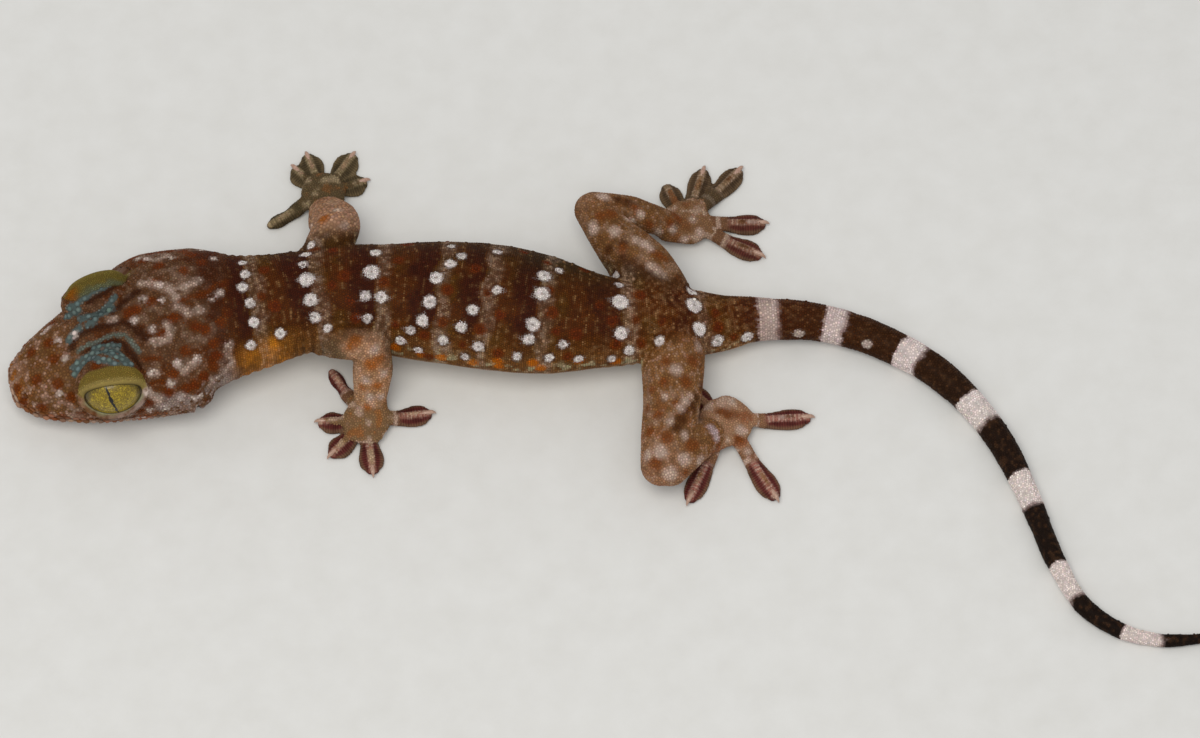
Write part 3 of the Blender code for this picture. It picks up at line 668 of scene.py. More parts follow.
def lidForm(side):
    # the lids: a smooth band that follows the opening over the ball, wide above it and narrow below
    # share of the width (or mm inside the rim), and height as shares of the rim's and of the brow's
    profile = (
        (-0.14, -0.4, 0), (-0.09, 0.0, 0), (-0.04, 0.5, 0), (0.0, 0.82, 0), (0.05, 0.97, 0), (0.11, 1.0, 0),
        (0.2, 1.0, 0), (0.34, 0.85, 0.15), (0.5, 0.6, 0.4), (0.68, 0.3, 0.7), (0.85, 0.1, 0.9),
        (0.97, 0.0, 0.93), (1.04, 0.0, 0.7), (1.08, 0.0, 0.3),
    )
    lipShare = 0.11  # up to here the band is as wide all the way round
    centre, axes = eyeFrame(side)
    brow = eyeForm["brow"] - skinLook["inset"]
    form = bmesh.new()
    edges, marks, turns = firstRing(form, skinLook["lidSides"])
    first = edges
    for step, (share, high, tall) in enumerate(profile):
        if step:
            edges, marks = nextRing(form, edges, marks)
        for corner, mark in marks.items():
            across, up = math.cos(turns[mark]), math.sin(turns[mark])
            wide = foldWidth(up)
            if share <= lipShare:
                wide = 1.0 + (wide - 1.0) * max(share, 0) / lipShare
            away = math.asin(rimShare(across, up)) + share * wide / eyeForm["mean"]
            lift = high * rimHeight(up) + tall * brow
            unit = np.array((math.sin(away) * across, math.cos(away), math.sin(away) * up))
            corner.co = centre + (unit * (1 + lift / eyeForm["mean"]) * eyeForm["size"]) @ axes
    bmesh.ops.bridge_loops(form, edges=first + edges)
    bmesh.ops.recalc_face_normals(form, faces=form.faces)
    return form


def settle(piece):
    # makes the piece's modifiers part of its mesh
    bpy.context.view_layer.update()
    data = bpy.data.meshes.new_from_object(piece.evaluated_get(bpy.context.evaluated_depsgraph_get()))
    piece.modifiers.clear()
    piece.data = data


def setSpots(data, spots):
    data.vertices.foreach_set("co", spots.astype(np.float32).ravel())
    data.update()


def triangleCount(data):
    return sum(len(face.vertices) - 2 for face in data.polygons)


def buildSkin():
    joined = bmesh.new()
    for form in skinForms():
        addForm(joined, form)
    piece = placed("skin", joined, 1.0)
    remesh = piece.modifiers.new("remesh", "REMESH")
    remesh.mode = "VOXEL"
    remesh.voxel_size = skinLook["voxel"]
    settle(piece)
    spots, ends = meshArrays(piece.data)
    print("stage: skin fused,", len(spots), "points")
    body, feet = skinLook["smoothing"]
    onFeet = smooth(-footPlace(spots)[0], -2.0, -1.5) * (spots[:, 2] < 2.4)
    spots = relax(spots, ends, feet, np.ones(len(spots)))
    spots = relax(spots, ends, body - feet, 1 - onFeet)
    spots[:, 2] = np.maximum(spots[:, 2], 0.02)
    setSpots(piece.data, spots)
    return piece


def modelSkin():
    # unevenness, fine folds that run round the neck and where the legs meet the body, and the head
    spots = meshArrays(skin.data)[0]
    normals = vertexNormals(skin.data)
    run, angle, far = alongSpine(spots)
    spots = spots + normals * (0.1 * noise(spots, 4.2, 3) + 0.05 * noise(spots, 1.6, 4))[:, None]
    fold = bell(run, 27.5, 3.0) * (0.35 + 0.65 * smooth(np.abs(angle), 30, 80))
    fold += bell(run, 34.5, 2.4) * smooth(np.abs(angle), 45, 80) * (far < 1.25)
    fold += bell(run, 73.0, 3.0) * smooth(np.abs(angle), 40, 75) * (far < 1.3)
    wave = foldWave(spots, run)
    spots = spots + normals * (skinLook["wrinkles"] * wave * np.clip(fold, 0, 1))[:, None]
    setSpots(skin.data, spots)
    spots = shapeHead(spots, vertexNormals(skin.data))
    spots[:, 2] = np.maximum(spots[:, 2], 0.0)
    setSpots(skin.data, spots)


def foldWave(points, run):
    return np.sin(run * 2 * math.pi / skinLook["foldPitch"] + 1.4 * noise(points, 2.6, 8))


skin = buildSkin()
modelSkin()
count = triangleCount(skin.data)
thin = skin.modifiers.new("thin", "DECIMATE")
thin.ratio = min(skinLook["triangles"] / count, 1.0)
settle(skin)
print("stage: skin thinned from", count, "triangles")
whole = bmesh.new()
whole.from_mesh(skin.data)
for side in (-1, 1):
    addForm(whole, lidForm(side))
whole.to_mesh(skin.data)
whole.free()
skin.data.update()
print("stage: skin modelled,", triangleCount(skin.data), "triangles")


def surfaceOf(piece):
    data = piece.data
    data.calc_loop_triangles()
    corners = np.empty(len(data.loop_triangles) * 3, np.int32)
    data.loop_triangles.foreach_get("vertices", corners)
    corners = corners.reshape(-1, 3)
    # sorted, because Blender may list the same faces in another order the next time
    first = corners.argmin(1)[:, None]
    corners = np.take_along_axis(corners, (first + np.arange(3)) % 3, axis=1)
    corners = corners[np.lexsort(corners.T[::-1])]
    spots = meshArrays(data)[0]
    ways = np.cross(spots[corners[:, 1]] - spots[corners[:, 0]], spots[corners[:, 2]] - spots[corners[:, 0]])
    normals = np.zeros_like(spots)
    for axis in range(3):
        for corner in range(3):
            normals[:, axis] += np.bincount(corners[:, corner], ways[:, axis], len(spots))
    return spots, corners, normals / np.linalg.norm(normals, axis=1)[:, None]


bodySpots, bodyFaces, bodyNormals = surfaceOf(skin)
bodyTree = BVHTree.FromPolygons(bodySpots.tolist(), bodyFaces.tolist())


def onSkin(points):
    # the nearest places on the skin and the smooth normals there
    places, faces = np.empty((len(points), 3)), np.empty(len(points), int)
    for number, point in enumerate(points):
        place, normal, face, away = bodyTree.find_nearest(point)
        places[number], faces[number] = place, face
    corners = bodyFaces[faces]
    near = 1 / (np.linalg.norm(bodySpots[corners] - places[:, None], axis=2) + 0.02)
    normals = (bodyNormals[corners] * near[:, :, None]).sum(1)
    return places, normals / np.linalg.norm(normals, axis=1)[:, None]


def placeOf(points):
    # where points lie on the body, its limbs, feet and toes
    run, angle, far = alongSpine(points)
    limbFar, limbRun, limb = limbPlace(points)
    footFar, foot, toe, toeRun, toeSide, pads, lengths = footPlace(points)
    onLimb = smooth(far, 1.08, 1.5) * smooth(-np.minimum(limbFar, footFar), -2.2, -1.6) * (run > 22)
    onFoot = onLimb * smooth(limbFar - footFar, -0.25, 0.15)
    return {"run": run, "angle": angle, "far": far, "limb": limb, "limbRun": limbRun, "onLimb": onLimb,
            "onFoot": onFoot, "foot": foot, "toe": toe, "toeRun": toeRun, "toeSide": toeSide, "pad": pads,
            "toeLong": lengths}


def tone(*levels):
    # a colour as it shows on a screen, from 0 to 255, as light
    share = np.array(levels) / 255
    return np.where(share <= 0.04045, share / 12.92, ((share + 0.055) / 1.055) ** 2.4)


def mixed(base, colour, share):
    # colour is light for each point, or one colour in levels
    if isinstance(colour, tuple):
        colour = tone(*colour)
    return base + (colour - base) * np.asarray(share)[:, None]


# What the markings are and where: distances from the snout along the spine, angles round it, and sizes in mm
markings = {
    "wine": (58, 23, 7), "brown": (80, 42, 13), "olive": (84, 56, 24), "lilac": (152, 130, 114),
    "flank": (120, 84, 50), "belly": (200, 178, 154), "white": (224, 217, 214), "rust": (94, 42, 8),
    "orange": (172, 94, 18), "cast": (44, 40, 22), "farSide": (50, 36, 20), "dust": (158, 124, 96),
    "granule": (160, 128, 94), "pit": (34, 13, 4), "lowEdge": (176, 172, 142), "neckSide": (186, 122, 56),
    "rustCore": (46, 14, 4), "halo": (52, 24, 12), "spotCore": (96, 74, 66), "tailGrain": (124, 88, 62),
    "bandEdge": (128, 92, 88), "tailSpot": (188, 172, 164), "tailUnder": (150, 128, 116),
    "rows": (21.0, 27.6, 34.8, 42.3, 49.3, 54.6, 61.2, 70.5, 79.0, 87.0),
    "spots": (
        (27.3, -54, 0.6), (27.3, 5, 0.6), (27.8, -12, 0.55), (27.8, 20, 0.6), (27.8, 39, 0.5),
        (27.9, -31, 0.6), (30.4, -51, 0.6), (34.5, 22, 0.55), (34.6, 1, 0.9), (34.7, -23, 0.75),
        (34.9, -43, 0.6), (35, 41, 0.6), (36.5, -62, 0.5), (41.4, -22, 0.6), (41.7, -46, 0.5), (42, 5, 0.9),
        (42.3, 33, 0.65), (43.3, -22, 0.65), (45.7, -69, 0.55), (46.9, -54, 0.5), (47.8, -78, 0.5),
        (48.2, -42, 0.65), (48.9, -23, 0.75), (49.4, 1, 0.75), (50.6, 46, 0.5), (50.8, -60, 0.6),
        (50.8, 17, 0.6), (51.9, 28, 0.55), (52.9, -43, 0.65), (53.6, -77, 0.5), (54.1, -26, 0.6),
        (55.2, -61, 0.6), (55.7, 40, 0.5), (56.5, -5, 0.5), (59.7, -68, 0.55), (60.8, -47, 0.65),
        (61, -32, 0.75), (61.5, 18, 0.75), (61.6, -2, 0.85), (63.1, -68, 0.55), (63.1, 31, 0.5),
        (64.5, -51, 0.5), (66.2, -73, 0.5), (69.6, -78, 0.5), (70.3, 73, 0.6), (70.5, 4, 0.9),
        (70.6, -38, 0.75), (70.4, 34, 0.5), (71.4, -65, 0.6), (75.1, -59, 0.6), (79, 8, 0.95), (79, 42, 0.7),
        (79.1, -35, 0.85), (81.2, -60, 0.7), (84.8, -73, 0.65), (91.2, -73, 0.6), (99.8, -57, 0.55),
        (36, 68, 0.5), (42.8, 62, 0.5), (50, 74, 0.5), (57, 70, 0.5), (63.8, 66, 0.5),
    ),
    "rustSpots": (
        (29.2, -8), (30.2, 23), (30.4, -20), (37.4, -10), (37.8, 41), (38.9, 0), (39.5, -27), (40.3, -46),
        (43.5, -7), (45, -50), (48.5, -58), (49.1, -88), (50, 66), (50.6, -41), (50.8, -10), (53.3, -62),
        (53.7, 14), (55.2, -43), (55.5, -9), (57.2, -27), (57.4, -66), (61.6, 39), (62.3, 3), (62.9, -19),
        (63.6, -37), (65.1, -68), (65.8, -40), (68.2, -4), (69.6, -23), (70, -54), (72.2, -19), (72.7, -54),
        (72.7, 18), (75.1, -22), (81.4, -4), (81.5, -32), (83.1, -60), (45, 20), (45.6, 56), (58.6, 52),
        (66, 52), (36, 52),
    ),
    "flankSpots": (  # orange ovals low on the flanks
        (48.2, -86), (50.6, -86), (54.6, -85), (57.4, -78), (57.6, -86), (61.4, -76), (62.2, -85),
        (66.2, -76), (41.5, -84), (45, -80), (70, -86), (44, 82), (51, 84), (58, 82), (64.5, 84),
    ),
    "bands": ((86.3, 88.7), (94.1, 96.5), (103.4, 106.2), (113.3, 117.3), (124.6, 128.9), (136.5, 141.2),
              (147.7, 152.1), (158.6, 161.4)),
    "bandDark": ((84, (70, 34, 12)), (100, (54, 30, 13)), (113, (40, 24, 13)), (125, (29, 18, 12)),
                 (166, (23, 15, 10))),
    "bandPale": ((84, (176, 154, 144)), (95, (210, 194, 190)), (104, (226, 213, 210)), (116, (229, 218, 214)),
                 (166, (226, 212, 207))),
}
headPaint = {
    "base": (99, 69, 48), "blotch": (88, 43, 14), "dust": (146, 122, 108), "granule": (150, 126, 108),
    "pit": (44, 21, 9), "nape": (62, 24, 7), "snout": (112, 80, 50), "tip": (158, 98, 48),
    "snoutDust": (170, 138, 122), "cheek": (158, 136, 124), "jaw": (148, 136, 132), "throat": (190, 168, 152),
    "lipOrange": (140, 78, 46), "lipPale": (184, 160, 146), "lidGapShade": (26, 18, 10),
    "lowerLid": (132, 132, 104),
    "leftLid": (116, 99, 52), "leftRim": (142, 126, 80), "rightLid": (98, 85, 44), "rightRim": (112, 98, 54),
    # nostril and ear: painted shade inside the openings
    "lidGrey": (84, 88, 68), "lidOrange": (134, 74, 24), "nostril": (30, 16, 10), "ear": (28, 14, 10),
}
headMarks = {  # the colour, how wide the lines are, and their points: along, sideways and height on the head
    "pale": ((178, 158, 146), 0.42, (
        ((19.8, 3.4, 10.8), (20.3, 2.1, 11.2), (20.4, 1.1, 11.3), (20.5, 0.3, 11.3), (21.1, -0.7, 11.3),
         (22.7, -0.7, 11.3)),
        ((21.3, 2.6, 11.3), (22.3, 2.9, 11.3), (23.4, 3.1, 11.2)),
        ((18.5, -1.2, 11), (18.9, -2.2, 10.9), (18.3, -3, 10.7), (17.1, -3.2, 10.6), (16.5, -2.9, 10.6)),
        ((25.1, -5.1, 9.7), (24.7, -5.5, 9.4), (24.8, -6.7, 8.1), (24.2, -7.1, 7.5)),
        ((22.4, -7.6, 7.2), (21.9, -8, 6.7)),
        ((18.7, -5.8, 9.7), (19.2, -6.6, 9.3), (20, -6.5, 9.2), (21, -5.8, 9.5)),
        ((15.6, -6, 9.2), (16.1, -6.3, 9.2)),
        ((14.4, -8.3, 9.1), (15.1, -8, 7.1), (15.8, -8.4, 6.7)),
        ((17, 4.8, 10.5), (18.9, 3.9, 10.9)),
        ((13.2, 1.1, 10.3), (12.5, 1.2, 10.1)),
        ((20.7, 8.5, 9), (19.4, 7.9, 9.4), (18.5, 8.2, 8.7)),
    )),
    "seam": ((92, 44, 13), 0.3, (
        ((20.6, 1, 11.3), (22.3, 1.1, 11.4), (23.9, 1.2, 11.4), (25.1, 2.1, 11.3)),
        ((15.1, -4.5, 9.9), (16, -4.7, 10), (16.9, -4.9, 10)),
        ((15.5, -7, 8.4), (16.6, -7.2, 8.5)),
        ((6.6, -6.6, 4.9), (8.4, -7.3, 5), (10.4, -8, 5.1), (12.4, -8.6, 5.1), (13.6, -8.9, 5.2)),
    )),
    "dark": ((52, 25, 10), 0.4, (
        ((7.5, -0.3, 8.7), (8.7, 1, 9), (10.5, 1.1, 9.5), (12.3, 0.7, 10), (13.9, 0.5, 10.5),
         (14.8, -0.6, 10.6), (15.6, -2.2, 10.6)),
        ((8.8, -1.3, 9.1), (9.9, -1.1, 9.4), (11.1, -1.1, 9.7), (12.6, -1.6, 10), (13.3, -2.5, 10),
         (13.9, -3.5, 9.9), (14.6, -5.4, 9.9)),
        ((10.6, 3.7, 10.9), (11.2, 3.8, 11.1), (12.6, 4.2, 11.3), (14.2, 5, 11.1)),
        ((13, 2.1, 10.2), (14.3, 2.7, 10.5), (15.4, 3.2, 10.7), (16.4, 3.8, 10.7)),
        ((15.3, -0.8, 10.7), (15.6, -1.6, 10.7), (15.9, -2.3, 10.6)),
    )),
    "thin": ((98, 106, 98), 0.27, (
        ((8.2, -0.8, 8.9), (9.5, -0.5, 9.3), (10.9, -0.4, 9.7), (12.5, -0.5, 10), (13.7, -1.2, 10.3),
         (14.3, -2.5, 10.3), (14.9, -3.6, 10.1)),
    )),
    "blue": ((86, 102, 101), 0.42, (
        ((7.3, -3.6, 8.2), (8.2, -3, 8.7), (9.1, -2.6, 9), (10, -3.7, 10.8), (10.9, -4.3, 11.2),
         (11.7, -4.7, 11.3), (12.5, -5.3, 11.2), (13.1, -6, 11), (13.5, -6.7, 10.7), (13.9, -7.3, 10.1)),
        ((8.8, -2.2, 9), (9.9, -2.8, 10), (10.8, -3.3, 10.4), (11.7, -3.7, 10.5), (12.5, -4.4, 10.8),
         (13.1, -5.1, 10.8), (13.6, -5.9, 10.7)),
        ((7.2, -2.7, 8.4), (8, -2.2, 8.8), (8.9, -1.9, 9), (9.9, -2, 9.3), (10.7, -2.3, 9.5),
         (11.6, -2.7, 9.6), (12.4, -3.5, 10.3), (13.1, -4.3, 10.5), (13.6, -5.1, 10.6)),
        ((10.1, -1.3, 9.4), (11, -1.6, 9.6), (11.9, -2, 9.8), (12.7, -2.5, 9.9)),
        ((8.3, 4.4, 9.3), (9, 4.2, 10.2), (9.8, 4.3, 10.9), (10.7, 4.4, 11.3), (11.5, 4.7, 11.5),
         (12.4, 4.9, 11.6), (13.3, 5.2, 11.4)),
        ((8, 4.1, 8), (8.7, 3.7, 9.4), (9.4, 3.5, 10.1)),
        ((9.7, 2.5, 9.2), (10.5, 2.5, 9.6), (11.2, 2.7, 10.1), (12, 2.9, 10.5), (12.8, 3.2, 10.7),
         (13.6, 3.7, 10.8)),
        ((10, 1.6, 9.4), (10.8, 1.9, 9.6), (11.5, 2.2, 9.8), (12.3, 2.5, 10), (13.1, 2.9, 10.2)),
        ((7.5, 0.8, 8.7), (8.3, 1.4, 8.9), (9.1, 1.7, 9.1)),
    )),
}
headSpots = {  # round marks: the colour, the radius, and their places as above
    "rust": ((96, 43, 9), 0.66, (
        (15.7, 1.5, 10.8), (18.6, 4.3, 10.8), (22.1, 5.1, 10.8), (19.5, 6.7, 10.1), (21.7, -2.4, 11),
        (19.9, -4.8, 10.1), (18, -6.8, 9.1), (17, -8.2, 7.6), (14.6, -8.3, 6.3), (17.8, -2.4, 10.8),
        (23.2, -4.6, 10.1), (23.2, -5.9, 9.2), (21.3, -7.4, 8.1), (19.1, -8.3, 7.8), (25.6, -1.8, 11.1),
        (24.7, -2.7, 10.9), (26.9, -0.5, 11.3), (5.2, 1.5, 7.8), (5.3, -0.7, 8), (2.9, -2.3, 7),
        (5.1, -3.8, 7.4), (6.2, -5.5, 6.8), (0.5, -2, 5.3), (5.1, -6.3, 3.9), (1, -3.5, 4.6),
        (17.4, 1.9, 11), (24.3, 5.9, 10.3), (23.5, 7.5, 9.5), (26.3, 1.9, 11.3), (22.7, -6.7, 8.5),
        (20.2, -8, 7.9), (3, 1.4, 6.9), (2.8, -5, 5.1), (14.8, 1.4, 10.6), (19.5, -0.8, 11.1),
        (22.7, -3.1, 10.8), (9.6, -4.5, 11), (12.2, -5.9, 11.1),
    )),
    "dots": ((206, 192, 184), 0.42, (
        (18.9, 3.9, 10.9), (18.6, 1.9, 11.1), (16.7, 2.5, 10.9), (15.1, 0.3, 10.7), (16.9, -1.5, 10.9),
        (22.4, -7.6, 7.2), (18.5, 8.2, 8.7), (25.9, 6.3, 9.8), (25.4, 0.8, 11.4), (24.4, 0.5, 11.4),
        (24.9, -5.1, 9.7), (24.8, -6.7, 8.1), (20.4, -8.9, 6.6), (19.6, -9.1, 6.4), (18.6, -5.9, 9.7),
        (21, -5.8, 9.5), (15.6, -6, 9.2), (14.8, -8, 8), (17.5, -7.5, 8.5), (18.3, -8.8, 7),
        (14.6, -8.6, 5.1), (13.4, -8.7, 3.6), (16.3, -8.9, 5.5), (6.6, -1.2, 8.4), (6.3, 1.2, 8.3),
        (5.6, 3.8, 7.1), (5.1, -4.8, 6.9), (8.3, 1.1, 8.9),
    )),
}


def spotShare(points, centres, radii, edge=0.12):
    # 1 inside a round spot and 0 outside, and the distance from the middle of the nearest
    share, middle = np.zeros(len(points)), np.full(len(points), 9.0)
    wobble = 0.09 * noise(points, 0.36, 21)
    for centre, radius in zip(centres, radii):
        away = np.linalg.norm(points - centre, axis=1)
        share = np.maximum(share, 1 - smooth(away + wobble, radius - edge, radius + edge))
        middle = np.minimum(middle, away)
    return share, middle


def lineShare(points, lines, wide, edge=0.14):
    share = np.zeros(len(points))
    wobble = 0.16 * noise(points, 0.45, 33)
    for spots in lines:
        for start, end in zip(spots, spots[1:]):
            step = end - start
            part = np.clip((points - start) @ step / (step @ step), 0, 1)
            away = np.linalg.norm(points - start - part[:, None] * step, axis=1)
            share = np.maximum(share, 1 - smooth(away + wobble, wide - edge, wide + edge))
    return share


def mirrored(places):
    # the left side's low marks again on the right side, which the photograph doesn't show
    return tuple((a, 2 * midline(a) - s, h) for a, s, h in places if s < -4.5 and h < 9.6)


spotCentres = onSkin([onSpine(run, angle) for run, angle, radius in markings["spots"]])[0]
spotRadii = [radius for run, angle, radius in markings["spots"]]
rustCentres = onSkin([onSpine(run, angle) for run, angle in markings["rustSpots"]])[0]
rustRadii = [0.5 + 0.12 * (number % 3) for number in range(len(rustCentres))]
flankCentres = onSkin([onSpine(run, angle) for run, angle in markings["flankSpots"]])[0]
headLines = {name: [onSkin([headPoint(*spot) for spot in line])[0] for line in lines]
             for name, (colour, wide, lines) in headMarks.items()}
headCentres = {name: onSkin([headPoint(*spot) for spot in spots + mirrored(spots)])[0]
               for name, (colour, size, spots) in headSpots.items()}


def levels(run, table):
    # a colour that changes along the body
    places = [place for place, colour in table]
    lights = [tone(*colour) for place, colour in table]
    return np.stack([np.interp(run, places, [light[axis] for light in lights]) for axis in range(3)], axis=1)


def layered(paint, look, **shares):
    # the colours of these names, laid over the paint one after another
    for name, share in shares.items():
        paint = mixed(paint, look[name], share)
    return paint


def paintTrunk(points, place):
    run, angle = place["run"], place["angle"]
    rows = np.array(markings["rows"])
    shifted = run + 0.45 * noise(points, 2.2, 5) + 0.12 * noise(points, 0.5, 6)
    after = np.clip(np.searchsorted(rows, shifted) - 1, 0, len(rows) - 2)
    behind = shifted - rows[after]
    phase = np.clip(behind / (rows[after + 1] - rows[after]), 0, 1)
    grain, cloud = noise(points, 0.34, 41), noise(points, 1.7, 10)
    side = smooth(np.abs(angle), 34, 84)
    olive = smooth(cloud + 0.5 * side - 0.6 * smooth(phase, 0.4, 0.8), -0.2, 0.5)
    wine = smooth(phase + 0.22 * cloud, 0.5, 0.78) * (1 - 0.45 * side)
    # painted shade: a dark olive patch high on the right side, towards the rear of the trunk
    cast = np.exp(-(((run - 63) / 8) ** 2 + ((angle - 48) / 28) ** 2))
    paint = np.tile(tone(*markings["brown"]), (len(points), 1))
    # the pale flank colour goes more on the left flank than on the right: partly the flanks' own colour,
    # partly painted light on the side that faces the lamp
    paint = layered(paint, markings, olive=olive * 0.7, wine=wine * (0.9 - 0.3 * smooth(run, 62, 75)),
                    flank=side * np.where(angle < 0, 0.62, 0.2), cast=cast * 0.6)
    paint = paint * (1 - 0.1 * (1 - side))[:, None]
    # a narrow grey zone behind each row, and pale granules in fine lines that run across
    zone = smooth(behind, 0.1, 0.45) * (1 - smooth(behind + 0.5 * cloud, 1.3, 2.3))
    zone = zone * (0.2 + 0.5 * smooth(grain, -0.15, 0.4)) * (0.75 + 0.45 * side)
    dust = smooth(run, 66, 74) * smooth(grain, -0.3, 0.4) * (0.14 + 0.3 * side)
    wave = np.cos((run + 0.012 * np.abs(angle) + 0.35 * noise(points, 2.4, 42)) * 2 * math.pi / 1.05)
    speck = smooth(wave, 0.3, 0.9) * smooth(grain, 0.0, 0.4) * (1 - 0.5 * wine)
    # painted shade: the right side, which faces away from the lamp, is darkened from the neck back
    paint = layered(paint, markings, farSide=smooth(angle, 22, 70) * 0.55 * (run > 30), lilac=zone, dust=dust,
                    granule=speck * (0.28 + 0.36 * side), pit=smooth(-grain, 0.15, 0.5) * 0.3)
    # painted shade in the troughs of the skin folds on the left side of the neck and shoulder
    foldShade = np.clip((bell(run, 30.0, 3.2) + bell(run, 34.5, 2.4)) * smooth(-angle, 55, 85), 0, 1)
    paint = paint * (1 - 0.45 * foldShade * smooth(-foldWave(points, run), -0.1, 0.8))[:, None]
    paint = paint * (1 + 0.18 * smooth(run, 66, 74))[:, None]
    edge = bell(np.abs(angle), 86, 10) * (run > 38) * smooth(noise(points, 0.7, 12) + 0.4 * grain, 0.05, 0.4)
    orange = spotShare(points, flankCentres, [0.62] * len(flankCentres), 0.2)[0]
    neck = bell(run, 29.0, 2.6) * smooth(-angle, 42, 62) * (1 - smooth(-angle, 110, 125))
    neck = neck * (0.35 + 0.55 * smooth(noise(points, 1.3, 13) + 0.4 * grain, -0.2, 0.4))
    rust, inRust = spotShare(points, rustCentres, rustRadii, 0.26)
    halo = spotShare(points, spotCentres, [radius + 0.3 for radius in spotRadii])[0]
    white, inWhite = spotShare(points, spotCentres, spotRadii)
    return layered(paint, markings, belly=smooth(np.abs(angle), 98, 122), lowEdge=edge * 0.55,
                   orange=orange * 0.8, neckSide=neck, rust=rust * 0.9,
                   rustCore=rust * (1 - smooth(inRust, 0.1, 0.35)) * 0.35, halo=halo * 0.45,
                   white=white * (0.97 - 0.3 * smooth(-grain, 0.1, 0.5)),
                   spotCore=(1 - smooth(inWhite, 0.05, 0.16)) * 0.6)


def paintTail(points, place):
    run = place["run"] + 0.22 * noise(points, 0.7, 14) + 0.16 * noise(points, 0.34, 41)
    grain = noise(points, 0.36, 43)
    share = np.zeros(len(points))
    for start, end in markings["bands"]:
        band = smooth(run, start - 0.1, start + 0.16) * (1 - smooth(run, end - 0.35, end + 0.4))
        share = np.maximum(share, band)
    near = 1 - smooth(run, 84, 102)
    dark = levels(run, markings["bandDark"])
    dark = mixed(dark, markings["tailGrain"], smooth(grain, 0.05, 0.5) * (0.14 + 0.3 * near))
    pale = levels(run, markings["bandPale"]) * (1 - 0.16 * smooth(-grain, 0.0, 0.5))[:, None]
    paint = mixed(dark, pale, share)
    paint = mixed(paint, markings["bandEdge"], share * (1 - share) * 1.4)
    spots = spotShare(points, spotCentres[-13:-5], spotRadii[-13:-5])[0]
    paint = mixed(paint, markings["tailSpot"], spots * 0.9)
    under = smooth(np.abs(place["angle"]), 115, 150)
    return mixed(paint, markings["tailUnder"], under * near * 0.5)


def paintLids(points, paint, along, height, side):
    look = headPaint
    rim, up, lift = eyeRing(points, side)
    near = (rim < 3) & (lift > -0.4) & (lift < 1.4) & (eyePlace(points, side)[:, 1] > -0.5)
    wide = foldWidth(up) - 0.2 * smooth(-up, -0.3, 0.0)
    fold = (1 - smooth(rim + 0.12 * noise(points, 0.5, 44), wide - 0.15, wide + 0.1)) * near
    # the lids' colour ends where the head rises past them
    fold *= 1 - smooth(lift - lidTop(np.clip(rim / wide, 0, 1), up), 0.14, 0.3)
    upper = smooth(up, -0.35, 0.1)
    name = "left" if side < 0 else "right"
    paint = mixed(paint, look[name + "Lid"], fold * upper)
    paint = mixed(paint, look[name + "Rim"], fold * upper * (1 - smooth(rim, 0.45, 0.75)) * 0.75)
    if side > 0:
        top = smooth(rim + 0.3 * noise(points, 0.6, 47), 1.15, 1.7)
        paint = mixed(paint, look["lidGrey"], fold * top * 0.85)
        front = smooth(10.2 - along, 0, 1.2) * smooth(rim, 0.5, 0.9)
        paint = mixed(paint, look["lidOrange"], fold * front * 0.7)
    paint = mixed(paint, look["lowerLid"], fold * (1 - upper) * 0.9)
    # painted shade on the skin that tucks under the lids' rim
    return mixed(paint, look["lidGapShade"], (1 - smooth(rim, -0.1, -0.03)) * near)


def paintHead(points, place):
    look = headPaint
    along, sideways, height = headPlace(points)
    grain, cloud = noise(points, 0.34, 41), noise(points, 1.3, 15)
    blobs = cloud + 0.5 * noise(points, 0.6, 16)
    rear, snout = smooth(along, 8, 14), 1 - smooth(along, 5.0, 9.5)
    nape = smooth(along + 0.8 * blobs, 22.0, 24.5) * (np.abs(sideways) < 7.5)
    paint = np.tile(tone(*look["base"]), (len(points), 1))
    paint = layered(paint, look, blotch=smooth(blobs + 0.15 * grain, 0.05, 0.5) * 0.7,
                    dust=smooth(-blobs + 0.25 * grain, 0.15, 0.75) * 0.45 * rear,
                    granule=smooth(grain, 0.12, 0.5) * (0.14 + 0.14 * rear),
                    pit=smooth(-grain, 0.12, 0.5) * 0.25, nape=nape * 0.7, snout=snout * 0.6)
    paint = paint * (1 - 0.14 * smooth(height, 8.5, 10.5))[:, None]
    onSnout = snout * smooth(grain + 0.4 * noise(points, 0.7, 19), 0.2, 0.6)
    onCheek = smooth(-height, -7.4, -4.6) * smooth(noise(points, 0.9, 20) + 0.5 * grain, -0.15, 0.4)
    onJaw = smooth(-height, -9.6, -6.2) * (rear * smooth(-blobs + 0.6 * grain, -0.15, 0.45))
    lips = bell(height, mouthHeight(along), 0.9) * (along < headForm["mouthCorner"])
    patch = noise(points, 1.3, 22)
    paint = layered(paint, look, tip=(1 - smooth(along, -0.2, 2.6)) * 0.65, snoutDust=onSnout * 0.6,
                    cheek=onCheek * 0.62, jaw=onJaw * 0.56, throat=smooth(-height, -3.1, -2.0) * 0.85,
                    lipOrange=lips * smooth(patch, -0.2, 0.2) * 0.7,
                    lipPale=lips * smooth(-patch, 0.0, 0.4) * 0.7)
    for name, (colour, size, _) in headSpots.items():
        share = spotShare(points, headCentres[name], [size] * len(headCentres[name]), 0.3)[0]
        if name == "dots":
            share = np.minimum(share, smooth(grain, -0.5, 0.1) * 0.9)
        paint = mixed(paint, colour, share * 0.85)
        if name == "dots":
            continue
        for line, (colour, wide, _) in headMarks.items():
            share = lineShare(points, headLines[line], wide, 0.14 if line in ("thin", "blue") else 0.3)
            share = share * (0.9 if line != "pale" else 0.4 + 0.5 * smooth(grain, -0.3, 0.2))
            paint = mixed(paint, colour, share)
    # the ear openings and the nostrils are painted near black: painted shade inside these shallow hollows
    ear = (1 - smooth(earAway(along, height), 0.85, 1.25)) * (np.abs(sideways) > 6)
    for side in (-1, 1):
        paint = paintLids(points, paint, along, height, side)
        paint = layered(paint, look, nostril=1 - smooth(nostrilAway(points, side), 0.25, 0.5), ear=ear)
    return paint


